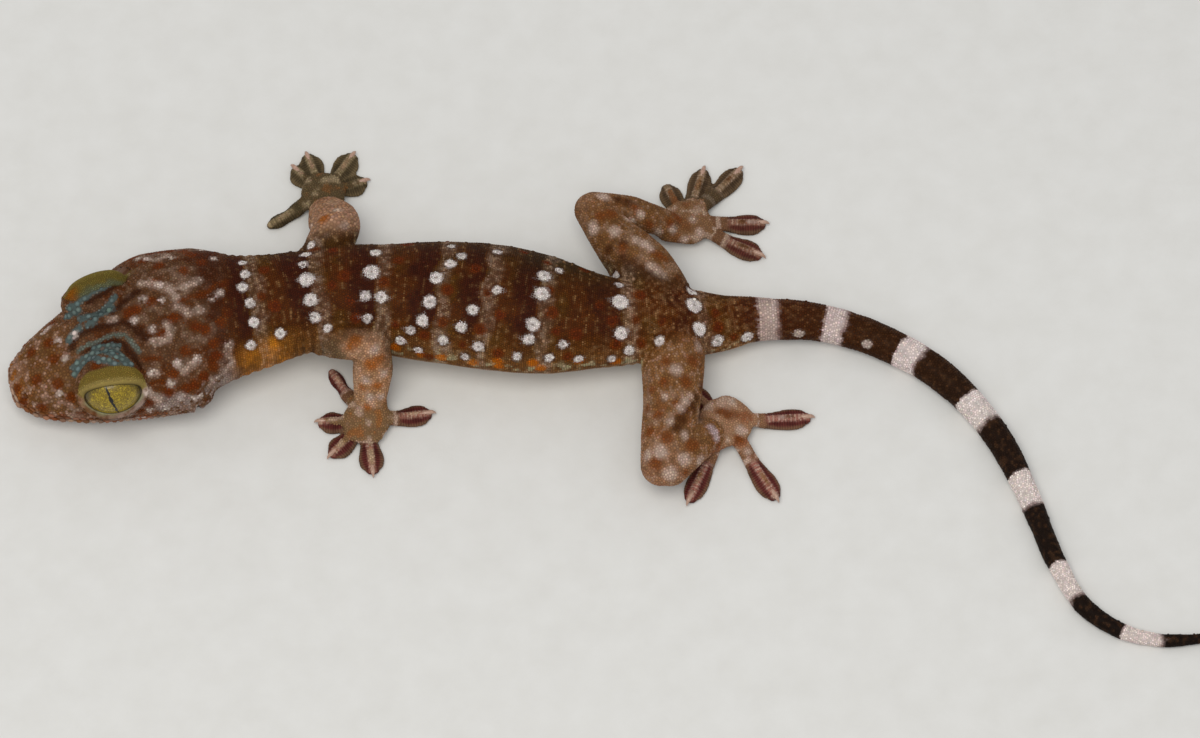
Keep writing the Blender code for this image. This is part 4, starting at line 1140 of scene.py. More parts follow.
limbPaint = {  # the lists of four are for left arm, left leg, right arm and right leg
    "base": ((170, 130, 96), (132, 92, 56), (152, 114, 86), (120, 82, 48)),
    "patch": ((152, 92, 42), (132, 66, 28), (126, 82, 44), (116, 68, 32)),
    "pale": ((198, 166, 146), (184, 158, 142), (182, 154, 136), (168, 142, 124)),
    "joint": ((186, 144, 116), (164, 124, 98), (178, 136, 110), (140, 98, 66)),
    "foot": ((130, 100, 70), (160, 122, 94), (92, 76, 52), (128, 94, 66)),
    "toe": ((118, 84, 62), (140, 102, 76), (98, 80, 54), (118, 84, 60)),
    "pad": ((86, 40, 36), (90, 42, 38), (82, 64, 44), (86, 44, 36)),
    "ridge": ((140, 96, 82), (148, 98, 86), (118, 96, 70), (130, 92, 76)),
    "bar": ((198, 170, 152), (206, 180, 164), (170, 150, 120), (186, 160, 142)),
    "edge": ((118, 96, 72), (124, 100, 76), (122, 104, 76), (118, 96, 72)),
    "greenToe": (74, 64, 44), "greenRidge": (124, 112, 84), "legOrange": (116, 62, 24),
    "bends": (8.6, 17.0, 6.4, 16.6),  # how far along each limb its elbow or knee is
    "bars": 1.75, "ridgeLines": 0.52,  # distances between the toes' bars, and between a ridge's lines
}
limbMarks = {  # patches on the limbs: the colour, then x, y, z and radius
    "grey": ((112, 92, 68), ((-35.2, 1.6, 8.9, 1.2), (-34.4, 1, 8.2, 1), (-36.1, 1.8, 8.2, 1))),
    "dark": ((74, 40, 14), (
        (-0.9, 12.6, 8.2, 0.9), (0.1, 12, 8.2, 0.9), (0.8, 11.2, 8.2, 0.8), (-1.8, 13.6, 8.1, 0.7),
        (-3.5, 15, 7.6, 0.6), (-1.9, 15.4, 8.3, 0.6), (-1.3, 22, 6.2, 0.7), (-2.4, 22.3, 6.5, 0.6),
        (4.7, -6.7, 7.1, 0.8), (4.2, -7.6, 7, 0.7), (5.2, -5.6, 7.1, 0.6), (6, -4.8, 6.7, 0.7),
        (6.5, -3.6, 6.5, 0.6), (7, -2, 5.8, 0.5),
    )),
    "orange": ((156, 90, 36), (
        (2.3, 14, 8.1, 0.7), (1.5, 14.5, 8.2, 0.5), (3, 13.8, 7.7, 0.5), (-3.3, 19.6, 7.8, 0.8),
        (4.5, 21.9, 3, 0.8), (1.2, 20, 4.5, 0.6), (4.5, 11.2, 7.3, 0.7), (3.7, 20.8, 3.7, 0.6),
        (-1.9, 14.8, 8.2, 0.6), (-0.3, 21.4, 6, 0.6), (-4.5, 19.3, 7.9, 0.7), (6, 0.7, 7.4, 0.75),
        (5.3, -2.1, 7.7, 0.75), (3, 0.3, 7.9, 0.6), (2.7, -2.3, 7.8, 0.6), (2.1, -6.1, 7.2, 0.65),
        (4, -4.8, 7.6, 0.4), (0.8, -5, 6.4, 0.45), (3.1, -8.9, 6.9, 0.75), (6, -9.2, 5.7, 0.85),
        (5.2, -12.2, 4.8, 0.5), (1.8, -11.8, 6, 0.8), (1.4, -2.9, 7.1, 0.5), (1.2, -7.9, 6.4, 0.6),
        (10.1, -3.4, 2.3, 0.8), (9.3, -3.1, 2.3, 0.6), (11, -3.4, 2.2, 0.6), (12.9, -8.5, 1.2, 0.42),
        (11.3, -6.6, 1.8, 0.6), (-30.6, -0.3, 8.1, 0.85), (-29.8, 0, 8.6, 0.7), (-29.3, 0.2, 8.7, 0.55),
        (-29.9, -1.6, 5.5, 0.55), (-31.7, -1.5, 5, 0.45), (-31, -2.8, 2.8, 0.45), (-32.3, 1.7, 10.3, 0.8),
        (-32.9, 1.2, 9.8, 0.6), (-36.2, 18.3, 8.9, 0.7),
    )),
    "pale": ((188, 164, 150), (
        (0.2, 20.9, 5.5, 0.5), (-0.8, 20, 5.4, 0.42), (-1.3, 19.3, 7.1, 0.4), (0.6, 15.4, 8.2, 0.6),
        (-0.3, 15.9, 8.2, 0.5), (1.2, 14.9, 8.2, 0.5), (2.1, 11.8, 8.2, 0.6), (1.3, 12.3, 8.4, 0.5),
        (2.7, 11.3, 8.1, 0.45), (-2.8, 17.1, 8.2, 0.7), (2.3, 19.7, 3.3, 0.42), (4, 20.2, 3.1, 0.45),
        (6.3, 22, 2.2, 0.4), (7, 20.5, 1.9, 0.42), (-4.2, 22.4, 6.5, 0.75), (-5.3, 18, 7.3, 0.8),
        (5.2, 19.4, 1.9, 0.45), (4.1, -0.8, 8, 0.7), (5.2, -4.5, 7.4, 0.55), (4.7, -5.3, 7.4, 0.45),
        (5.7, -3.8, 7.1, 0.4), (2.8, -4.2, 7.6, 0.4), (5.1, -8.4, 6.3, 0.45), (2.4, -10.5, 6.5, 0.8),
        (5, -11.1, 5.8, 0.7), (3.4, -12.8, 5.4, 0.85), (3.4, -7, 7.3, 0.4), (6.8, 3, 6.7, 0.6),
        (0.9, -10.6, 5.8, 0.6), (6.8, -10.6, 4.4, 0.6), (10.5, -1.5, 1.9, 0.6), (11.6, -5.4, 2.1, 0.6),
        (12.4, -7.9, 1.5, 0.4), (-30, 0.7, 10, 0.5), (-31.1, -1.1, 6.1, 0.5), (-29.4, -2.1, 3.9, 0.45),
        (-30.7, -2.3, 4, 0.5), (-29.1, -0.6, 6.8, 0.4), (-35.9, 15.7, 9.4, 0.4), (-34.8, 20, 8.1, 0.5),
        (-37.7, 18.4, 6.6, 0.5), (-33.8, 17.3, 9.1, 0.5),
    )),
    "lilac": ((186, 166, 168), ((8.1, -6.3, 4.2, 0.5), (8.5, -6.8, 4.1, 0.6), (8.7, -7.4, 3.9, 0.5))),
}
footOrder = (0, 2, 1, 3)  # hand_left, hand_right, foot_left and foot_right as limb numbers
limbCentres = {name: onSkin([spot[:3] for spot in spots])[0] for name, (colour, spots) in limbMarks.items()}


def paintLimb(points, place):
    def of(name, which):
        return np.array([tone(*colour) for colour in limbPaint[name]])[which]

    limb = np.clip(place["limb"], 0, 3)
    grain = noise(points, 0.34, 41)
    paint = of("base", limb)
    patch = noise(points, 1.5, 24) + 0.35 * noise(points, 0.6, 25) + 0.2 * grain
    away = smooth(-points[:, 1] * np.where(limb < 2, 1, -1), 0, 3) * smooth(-points[:, 2], -4, -2.5)
    paint = mixed(paint, of("patch", limb), smooth(patch, 0.18, 0.55) * (0.25 + 0.5 * away))
    paint = mixed(paint, of("pale", limb), smooth(-patch, 0.25, 0.7) * (0.25 + 0.3 * away))
    joint = bell(place["limbRun"], np.array(limbPaint["bends"])[limb], 2.6)
    paint = mixed(paint, of("joint", limb), joint * 0.5)
    paint = mixed(paint, of("pale", limb), smooth(grain, 0.12, 0.5) * 0.3)
    paint = paint * (1 - 0.28 * smooth(-grain, 0.12, 0.5))[:, None]
    foot, toe, toeRun, toeSide = (place[key] for key in ("foot", "toe", "toeRun", "toeSide"))
    which = np.array(footOrder)[np.clip(foot, 0, 3)]
    sole = of("foot", which)
    blotch = noise(points, 1.1, 26) + 0.3 * grain
    sole = mixed(sole, of("patch", which), smooth(-blotch, 0.2, 0.6) * 0.6)
    sole = mixed(sole, of("bar", which), smooth(blotch, 0.2, 0.6) * 0.6)
    onToe = toe >= 0
    green = ((foot == 1) | ((foot == 3) & (toe < 3))) & onToe
    bars = smooth(np.sin(toeRun * 2 * math.pi / limbPaint["bars"] + 0.9 + toe * 1.3) + 0.3 * grain, 0.3, 0.75)
    digit = mixed(of("toe", which), of("bar", which), bars * 0.75)
    padStart = place["toeLong"] * (1 - place["pad"])
    onPad = smooth(toeRun, padStart - 0.1, padStart + 0.7)
    digit = mixed(digit, of("pad", which), onPad)
    digit = mixed(digit, limbPaint["greenToe"], green * 0.75)
    # the edge of each pad is a paler fringe, the ridge along its middle has pale lines across
    lobe = np.array([shape["lobe"] for shape in feetForm.values()])[np.clip(foot, 0, 3)]
    share = (toeRun - padStart) / (place["toeLong"] - padStart + 0.1)
    local = lobe * np.interp(share, (0, 0.3, 0.6, 0.86, 1.1), (0.6, 0.85, 1.0, 0.88, 0.5))
    digit = mixed(digit, of("edge", which), onPad * smooth(np.abs(toeSide) / local, 0.66, 0.92) * 0.6)
    digit = digit * (1 - 0.3 * onPad * smooth(noise(points, 0.5, 48), 0.0, 0.6))[:, None]
    ridge = mixed(of("ridge", which), limbPaint["greenRidge"], green * 0.6)
    lines = smooth(np.sin(toeRun * 2 * math.pi / limbPaint["ridgeLines"] + grain), 0.1, 0.7)
    ridge = mixed(ridge, of("bar", which), lines * 0.5)
    onRidge = onPad * (1 - smooth(np.abs(toeSide), 0.3, 0.52)) * smooth(points[:, 2], 0.45, 0.62)
    digit = mixed(digit, ridge, onRidge)
    paint = mixed(paint, mixed(sole, digit, onToe), place["onFoot"])
    for name, (colour, spots) in limbMarks.items():
        shifted = points + 0.12 * noise(points, 0.7, 45)[:, None]
        share = spotShare(shifted, limbCentres[name], [spot[3] for spot in spots], 0.4)[0]
        hue = np.tile(tone(*colour), (len(points), 1))
        if name == "orange":
            hue[limb % 2 == 1] = tone(*limbPaint["legOrange"])
        paint = mixed(paint, hue, share * (0.94 - 0.25 * smooth(-grain, 0.1, 0.5)) * (1 - onPad * onToe))
    return paint


def paintAt(points, place):
    paint = paintTrunk(points, place)
    paint = mixed(paint, paintTail(points, place), smooth(place["run"], 85.2, 86.2))
    paint = mixed(paint, paintHead(points, place), 1 - smooth(place["run"], 24.0, 26.5))
    paint = mixed(paint, paintLimb(points, place), place["onLimb"])
    # painted shade in the crease on the upper side where the left arm and the right leg meet the body, and
    # stronger colours
    creaseShade = 4 * place["onLimb"] * (1 - place["onLimb"]) * (points[:, 2] > 4) * np.isin(place["limb"], (0, 3))
    paint = paint * (1 - 0.28 * creaseShade[:, None])
    grey = paint.mean(1)[:, None]
    return np.clip(grey + (paint - grey) * (1.14 - 0.12 * place["onLimb"])[:, None], 0.002, 1)


def setColours(data, name, colours):
    layer = data.color_attributes.new(name, "FLOAT_COLOR", "POINT")
    opaque = np.column_stack((colours, np.ones(len(colours))))
    layer.data.foreach_set("color", opaque.astype(np.float32).ravel())


skinPlace = placeOf(bodySpots)
skinPaint = paintAt(bodySpots, skinPlace)
padStart = skinPlace["toeLong"] * (1 - skinPlace["pad"])
onPad = smooth(skinPlace["toeRun"], padStart - 0.2, padStart + 0.5)
onPad = onPad * skinPlace["onFoot"] * (skinPlace["toe"] >= 0)
lidSkin = np.zeros(len(bodySpots))
for side in (-1, 1):
    rim, up, lift = eyeRing(bodySpots, side)
    lidSkin = np.maximum(lidSkin, (1 - smooth(rim, 0.3, 0.45)) * (np.abs(lift) < 1.3))
# painted shade: the skin is darkened where it only shows between the scales, but not on the bare pads and at
# the lids' rims
under = 0.72 + 0.28 * np.maximum(onPad, lidSkin)  # darker where it only shows between the scales
setColours(skin.data, "skinColour", skinPaint * under[:, None])
padRun = skin.data.attributes.new("padRun", "FLOAT_VECTOR", "POINT")
padRows = np.column_stack((skinPlace["toeRun"], onPad, onPad))
padRun.data.foreach_set("vector", padRows.astype(np.float32).ravel())
print("stage: skin painted")

# Eyes: balls as deep as the solids, with a gold iris and an upright slit
eyeLook = {
    "iris": (132, 110, 18), "irisPale": (190, 166, 34), "irisDark": (66, 50, 2), "edge": (40, 32, 8),
    "slit": (12, 8, 5), "rings": 64, "sides": 96,
    "veinSize": 9.0, "webSize": 11.0, "webStrength": 0.8, "edgeFrom": 0.78,
    "lean": (0.06, 0.25), "notches": 11.0, "slitWide": 0.052,  # of the pupil
    "rough": 0.4, "gloss": 0.4, "veinBump": (0.25, 0.00008),
}


def buildEye(name, side):
    centre, axes = eyeFrame(side)
    form = bmesh.new()
    bmesh.ops.create_uvsphere(form, u_segments=eyeLook["sides"], v_segments=eyeLook["rings"], radius=1.0)
    gaze = form.verts.layers.float_vector.new("gaze")
    for corner in form.verts:
        unit = np.array((corner.co.x, corner.co.z, corner.co.y))  # a pole of the ball looks out
        corner[gaze] = unit
        corner.co = (unit * eyeForm["size"]) @ axes + centre
    bmesh.ops.recalc_face_normals(form, faces=form.faces)
    for face in form.faces:
        face.smooth = True
    return placed(name, form)


eyes = [buildEye("eye_ball_left", -1), buildEye("eye_ball_right", 1)]


# Claws: small hooks that leave the end of each ridge
def buildClaws():
    joined = bmesh.new()
    out, tall, wide = clawForm["out"], clawForm["tall"], clawForm["wide"]
    steps = (  # how far out, how much lower and how large it is there
        (-clawForm["in"], 0.0, 1.0), (0.0, 0.08, 0.95), (0.4 * out, 0.0, 0.72), (0.72 * out, -0.2, 0.42),
        (0.86 * out, -0.42, 0.14),
    )
    for shape in feetForm.values():
        for number in range(5):
            if number == clawForm["none"]:
                continue
            root, tip, way = toeLine(shape, number)
            end = tip + way * 0.3
            keys = []
            for far, sink, size in steps:
                spot = end + way * far
                high = clawForm["height"] + sink
                keys.append((*spot[:2], high, wide * size, tall * size, tall * size, 1.0, 1.0))
            places = spread(0, len(steps) - 1, clawForm["rings"])
            addForm(joined, loft(np.array(keys), places, clawForm["sides"], roundEnd=1))
    for face in joined.faces:
        face.smooth = True
    return placed("claws", joined)


claws = buildClaws()
print("stage: eyes and claws made")

# The coat: every scale is a small closed dome whose outline is fitted to its neighbours
coatLook = {
    "trunk": 0.135, "head": 0.15, "snout": 0.168, "limb": 0.145, "foot": 0.13, "toe": 0.112, "lid": 0.1,
    "belly": 0.25, "blue": 0.33, "spot": 0.1,  # half of the distance between two scales
    "rightArm": 0.06,  # added on the right arm
    "tall": 0.34,  # height of a scale as a share of that
    "blueTall": 0.75, "unevenTall": (0.9, 0.2),
    "shoulder": (0.74, 0.7),  # how high and how wide a scale is where its wall ends
    "gap": 0.985, "sides": 6,
    "wide": 1.25, "widest": 1.22,  # how far an outline may reach on its own, and past its mean
    "patches": (0.0015, 0.0009),  # of the bake, at a scale's foot and shoulder
    "crowd": 5,  # how many more are scattered than there is room for
    "passes": 7, "wish": 1.2, "push": 0.16,  # of pushing them apart, how far, and how much each time
    "apart": 0.86,  # the least distance, as a share of what two scales reach together
    "tailStart": 84.0, "tailPitch": (0.33, 0.22),  # distance between the tail's rings at its root and its tip
    "whorl": 7,  # rings in each whorl of the tail
    "rowStart": 24.5, "rowLong": 60, "rowPitch": 0.89,
    # painted shade at a scale's foot and painted highlight at its top
    "shadeTints": {  # how bright a scale is at its foot, its shoulder and its top
        "body": (0.7, 1.02, 1.1), "head": (0.76, 1.0, 1.06), "spot": (0.84, 1.0, 1.04),
        "blue": (0.3, 1.1, 1.5),
    },
}


def closePairs(points, reach):
    # every pair of points closer than this, found through a grid of cells
    cell = np.floor((points - points.min(0)) / reach).astype(np.int64) + 1
    size = cell.max(0) + 2
    key = (cell[:, 0] * size[1] + cell[:, 1]) * size[2] + cell[:, 2]
    order = np.argsort(key, kind="stable")
    keys = key[order]
    found = []
    for dx in (-1, 0, 1):
        for dy in (-1, 0, 1):
            for dz in (-1, 0, 1):
                if (dx, dy, dz) < (0, 0, 0):
                    continue
                wanted = key + (dx * size[1] + dy) * size[2] + dz
                start = np.searchsorted(keys, wanted, "left")
                count = np.searchsorted(keys, wanted, "right") - start
                one = np.repeat(np.arange(len(points)), count)
                step = np.arange(count.sum()) - np.repeat(np.cumsum(count) - count, count)
                two = order[np.repeat(start, count) + step]
                if (dx, dy, dz) == (0, 0, 0):
                    one, two = one[one < two], two[one < two]
                near = ((points[one] - points[two]) ** 2).sum(1) < reach * reach
                found.append(np.column_stack((one[near], two[near])))
    return np.concatenate(found)


def thinned(points, reach, order):
    # keeps points no closer than their reaches ask, the first in order first
    pairs = closePairs(points, 2 * coatLook["apart"] * reach.max())
    apart = np.linalg.norm(points[pairs[:, 0]] - points[pairs[:, 1]], axis=1)
    pairs = pairs[apart < (reach[pairs[:, 0]] + reach[pairs[:, 1]]) * coatLook["apart"]]
    state = np.zeros(len(points), int)  # 0 open, 1 kept, 2 dropped
    while (state == 0).any():
        live = pairs[(state[pairs[:, 0]] == 0) & (state[pairs[:, 1]] == 0)]
        lowest = np.full(len(points), np.inf)
        np.minimum.at(lowest, live[:, 0], order[live[:, 1]])
        np.minimum.at(lowest, live[:, 1], order[live[:, 0]])
        state[(state == 0) & (order < lowest)] = 1
        kept = state == 1
        for one, two in ((0, 1), (1, 0)):
            dropped = pairs[kept[pairs[:, one]] & (state[pairs[:, two]] == 0), two]
            state[dropped] = 2
    return np.flatnonzero(state == 1)


def blueShare(points, place):
    return lineShare(points, headLines["blue"], headMarks["blue"][1]) * (place["run"] < 22)


def scaleReach(points, place):
    # how far each scale reaches, from where it grows
    along = headPlace(points)[0]
    reach = np.full(len(points), coatLook["trunk"])
    belly = smooth(np.abs(place["angle"]), 112, 130) * (place["far"] < 1.15)
    reach += (coatLook["belly"] - reach) * belly
    reach += (coatLook["limb"] - reach) * place["onLimb"]
    reach += (coatLook["foot"] - reach) * place["onFoot"]
    reach += (coatLook["toe"] - reach) * place["onFoot"] * (place["toe"] >= 0)
    head = 1 - smooth(place["run"], 24, 27)
    reach += (coatLook["head"] - reach) * head
    reach += (coatLook["snout"] - reach) * (1 - smooth(along, 7, 10)) * head
    reach += (coatLook["blue"] - reach) * (blueShare(points, place) > 0.5)
    reach += (coatLook["spot"] - reach) * (spotShare(points, spotCentres, spotRadii)[0] > 0.3)
    rightArm = (place["limb"] == 2) * (place["onLimb"] > 0.5) * (place["onFoot"] < 0.5)
    reach += coatLook["rightArm"] * rightArm
    for side in (-1, 1):
        rim, up, lift = eyeRing(points, side)
        fold = (1 - smooth(rim, foldWidth(up) - 0.2, foldWidth(up) + 0.1)) * (np.abs(lift) < 1.6)
        reach += (coatLook["lid"] - reach) * fold
    return reach


def bare(points, place):
    # places where no scale grows: eyes, the lids' smooth rims and what lies under them, nostrils, ears, pads
    found = points[:, 2] < 0.05
    along, sideways, height = headPlace(points)
    for side in (-1, 1):
        rim, up, lift = eyeRing(points, side)
        under = (rim < foldWidth(up)) & (lift < lidTop(np.clip(rim / foldWidth(up), 0, 1), up) - 0.07)
        out = eyePlace(points, side)[:, 1] > -1.6
        found |= ((rim < eyeForm["fold"][0]) | under) & (lift < 1.3) & (lift > -1.6) & out
        found |= nostrilAway(points, side) < headForm["nostril"][1]
    found |= (earAway(along, height) < 1.0) & (np.abs(sideways) > 6)
    onPad = place["toeRun"] > place["toeLong"] * (1 - place["pad"]) + 0.35
    low = (np.abs(place["toeSide"]) > 0.42) | (points[:, 2] < 0.6)
    return found | ((place["toe"] >= 0) & (place["onFoot"] > 0.5) & onPad & low)


def tailScales():
    places, reaches, heights = [], [], []
    start, (pitchStart, pitchEnd) = coatLook["tailStart"], coatLook["tailPitch"]
    run, ring = start, 0
    while run < spineLength[-1] + 0.3:
        share = min(max((run - start) / (spineLength[-1] - start), 0), 1)
        pitch = pitchStart + (pitchEnd - pitchStart) * share
        girth = sum(np.interp(run, spineLength, spineRun[:, column]) for column in (3, 4))
        count = max(8, int(round(math.pi * girth / (pitch * 1.02))))
        # the last ring of each whorl stands up, most of all its six tubercles
        rear = ring % coatLook["whorl"] == coatLook["whorl"] - 1
        for number in range(count):
            angle = 360 * (number + 0.5 * (ring % 2)) / count + dice.normal() * 1.2
            wrapped = (angle + 180) % 360 - 180
            nearest = min(abs(abs(wrapped) - spot) for spot in (18, 52, 86))
            tubercle = rear and abs(wrapped) < 110 and nearest < 180 / count
            places.append(onSpine(run + dice.normal() * 0.02, wrapped))
            reaches.append(pitch * (0.66 if tubercle else 0.5))
            heights.append(2.1 if tubercle else (1.35 if rear else 1.0))
        run += pitch * 0.9
        ring += 1
    return np.array(places), np.array(reaches), np.array(heights)


def rowScales():
    # rows across the back and the flanks, evenly spaced from the middle of the back
    pitch = 2 * coatLook["trunk"]
    rowPitch = coatLook["rowPitch"]
    angles = np.arange(-118, 119, 4.0)
    places = []
    for ring in range(int(coatLook["rowLong"] / (rowPitch * pitch))):
        line = np.array([onSpine(coatLook["rowStart"] + ring * rowPitch * pitch, angle) for angle in angles])
        walked = np.concatenate(((0,), np.cumsum(np.linalg.norm(np.diff(line, axis=0), axis=1))))
        walked -= np.interp(0, angles, walked)
        number = np.arange(math.ceil(walked[0] / pitch), math.floor(walked[-1] / pitch))
        across = (number + 0.5 * (ring % 2)) * pitch
        places.append(np.column_stack([np.interp(across, walked, line[:, axis]) for axis in range(3)]))
    places = np.concatenate(places)
    places = onSkin(places + 0.015 * dice.normal(size=places.shape))[0]
    place = placeOf(places)
    own = (np.abs(place["angle"]) < 114) & (place["onLimb"] < 0.3) & ~bare(places, place)
    own &= spotShare(places, spotCentres, spotRadii)[0] < 0.3
    return places[own], scaleReach(places, place)[own]


def chosenScales():
    # scales with a place of their own: spots' tubercles, rows of tubercles along the back, labials
    chosen = [(centre, 0.12, 1.5) for centre in spotCentres] + [(centre, 0.24, 1.3) for centre in rustCentres]
    for row, angle in enumerate((-82, -66, -50, -34, -18, 18, 34, 50, 66, 82)):
        for step in range(20):
            run = 31.0 + step * 2.6 + (row % 2) * 1.3 + dice.normal() * 0.2
            chosen.append((onSpine(run, angle + dice.normal() * 1.5), 0.23, 1.25))
    headAlong = [-1.6, -1.2, -0.6, 0.0] + [key[0] for key in headForm["keys"]]
    headWide = [0.6, 1.1, 1.6, 2.2] + [key[2] for key in headForm["keys"]]
    for side in (-1, 1):
        for lower in (0, 1):
            along = -1.2 + 0.3 * lower
            while along < headForm["mouthCorner"] - 0.6:
                size = 0.5 - 0.012 * along
                height = mouthHeight(along) + (size * 0.98 if not lower else -size * 0.98)
                wide = np.interp(along, headAlong, headWide)
                chosen.append((headPoint(along, midline(along) + side * wide, height), size, 0.5))
                along += size * 1.96
    return tuple(np.array(column) for column in zip(*chosen))


def scattered():
    # random places all over the skin, as many for its area as the scales' sizes ask
    corners = bodySpots[bodyFaces]
    centres = corners.mean(1)
    one, two = corners[:, 1] - corners[:, 0], corners[:, 2] - corners[:, 0]
    area = np.linalg.norm(np.cross(one, two), axis=1) / 2
    place = placeOf(centres)
    reach = scaleReach(centres, place)
    wanted = area / (reach**2 * 2 * math.sqrt(3)) * coatLook["crowd"]
    wanted[(place["run"] > coatLook["tailStart"] + 0.6) & (place["onLimb"] < 0.5)] = 0
    count = np.floor(wanted + dice.random(len(wanted))).astype(int)
    which = np.repeat(np.arange(len(count)), count)
    toOne, toTwo = dice.random(len(which)), dice.random(len(which))
    flip = toOne + toTwo > 1
    toOne, toTwo = np.where(flip, 1 - toOne, toOne), np.where(flip, 1 - toTwo, toTwo)
    loose = corners[which, 0] + toOne[:, None] * one[which] + toTwo[:, None] * two[which]
    free = ~bare(loose, {key: value[which] for key, value in place.items()})
    return loose[free], reach[which[free]]


def clearOf(fixed, fixedReach, loose, looseReach):
    # which of the loose places don't lie inside a scale that has its own place
    clear = np.ones(len(loose), bool)
    for low, high in ((0, 0.3), (0.3, 1)):
        some = (fixedReach >= low) & (fixedReach < high)
        widest = coatLook["apart"] * (fixedReach[some].max() + 0.2)
        pairs = closePairs(np.concatenate((fixed[some], loose)), widest)
        cross = (pairs.min(1) < some.sum()) & (pairs.max(1) >= some.sum())
        inner, outer = pairs[cross].min(1), pairs[cross].max(1) - some.sum()
        apart = np.linalg.norm(fixed[some][inner] - loose[outer], axis=1)
        clear[outer[apart < (fixedReach[some][inner] + looseReach[outer]) * coatLook["apart"]]] = False
    return clear


def pushedApart(points, reaches, pinned):
    for number in range(coatLook["passes"]):
        pairs = closePairs(points, 0.8)
        gap = points[pairs[:, 0]] - points[pairs[:, 1]]
        apart = np.linalg.norm(gap, axis=1)
        wish = (reaches[pairs[:, 0]] + reaches[pairs[:, 1]]) * coatLook["wish"]
        close = apart < wish
        pairs, gap, apart, wish = pairs[close], gap[close], apart[close], wish[close]
        push = gap / (apart[:, None] + 1e-6) * (wish - apart)[:, None] * coatLook["push"]
        move = np.zeros_like(points)
        for axis in range(3):
            move[:, axis] = (np.bincount(pairs[:, 0], push[:, axis], len(points))
                             - np.bincount(pairs[:, 1], push[:, axis], len(points)))
        long = np.linalg.norm(move, axis=1)
        move *= (np.minimum(long, 0.3 * reaches) / (long + 1e-9))[:, None]
        move[pinned] = 0
        points, normals = onSkin(points + move)
    return points, normals


def growScales():
    tail, tailReach, tailTall = tailScales()
    fixed, fixedReach, fixedTall = chosenScales()
    fixed = onSkin(np.concatenate((fixed, tail)))[0]
    fixedReach = np.concatenate((fixedReach, tailReach))
    fixedTall = np.concatenate((fixedTall, tailTall))
    keep = thinned(fixed, fixedReach, np.arange(len(fixed), dtype=float))
    fixed, fixedReach, fixedTall = fixed[keep], fixedReach[keep], fixedTall[keep]
    loose, looseReach = scattered()
    rows, rowReach = rowScales()
    inRow = np.arange(len(rows) + len(loose)) < len(rows)
    loose, looseReach = np.concatenate((rows, loose)), np.concatenate((rowReach, looseReach))
    clear = clearOf(fixed, fixedReach, loose, looseReach)
    loose, looseReach, inRow = loose[clear], looseReach[clear], inRow[clear]
    print("stage: scattered", len(loose), "places")
    keep = thinned(loose, looseReach, dice.random(len(loose)) - inRow)
    points = np.concatenate((fixed, loose[keep]))
    reaches = np.concatenate((fixedReach, looseReach[keep]))
    talls = np.concatenate((fixedTall, np.ones(len(keep))))
    print("stage: thinned to", len(points))
    points, normals = pushedApart(points, reaches, np.arange(len(points)) < len(fixed))
    keep = ~bare(points, placeOf(points))
    return points[keep], normals[keep], reaches[keep], talls[keep]


def outlines(points, normals, reaches):
    # each scale's outline: how far it reaches in each direction before it meets a neighbour
    sides = coatLook["sides"]
    run = alongSpine(points)[0]
    ways = spineWays[np.clip(np.searchsorted(spineLength, run), 0, len(spineWays) - 1)]
    first = ways - normals * (ways * normals).sum(1)[:, None]
    short = np.linalg.norm(first, axis=1) < 0.2
    first[short] = np.cross(normals[short], (0, 1, 0))
    first /= np.linalg.norm(first, axis=1)[:, None]
    second = np.cross(normals, first)
    start = dice.random(len(points)) * np.where(run > 24, 0.25, 2 * math.pi)
    turns = start[:, None] + np.arange(sides) * 2 * math.pi / sides
    reach = np.repeat((reaches * coatLook["wide"])[:, None], sides, axis=1)
    pairs = closePairs(points, 1.15)
    pairs = np.concatenate((pairs, pairs[:, ::-1]))
    gap = points[pairs[:, 1]] - points[pairs[:, 0]]
    apart = np.linalg.norm(gap, axis=1)
    close = apart < (reaches[pairs[:, 0]] + reaches[pairs[:, 1]]) * 1.6
    pairs, gap, apart = pairs[close], gap[close], apart[close]
    facing = (normals[pairs[:, 0]] * normals[pairs[:, 1]]).sum(1) > -0.2
    pairs, gap, apart = pairs[facing], gap[facing], apart[facing]
    toward = np.arctan2((gap * second[pairs[:, 0]]).sum(1), (gap * first[pairs[:, 0]]).sum(1))
    middle = apart * reaches[pairs[:, 0]] / (reaches[pairs[:, 0]] + reaches[pairs[:, 1]])
    for side in range(sides):
        cosine = np.cos(turns[pairs[:, 0], side] - toward)
        limit = np.where(cosine > 0.15, middle / np.maximum(cosine, 0.15), 9.0)
        column = reach[:, side].copy()
        np.minimum.at(column, pairs[:, 0], limit)
        reach[:, side] = column
    mean = reach.mean(1)[:, None]
    reach = np.minimum(reach, mean * coatLook["widest"]) * coatLook["gap"]
    return first, second, turns, reach


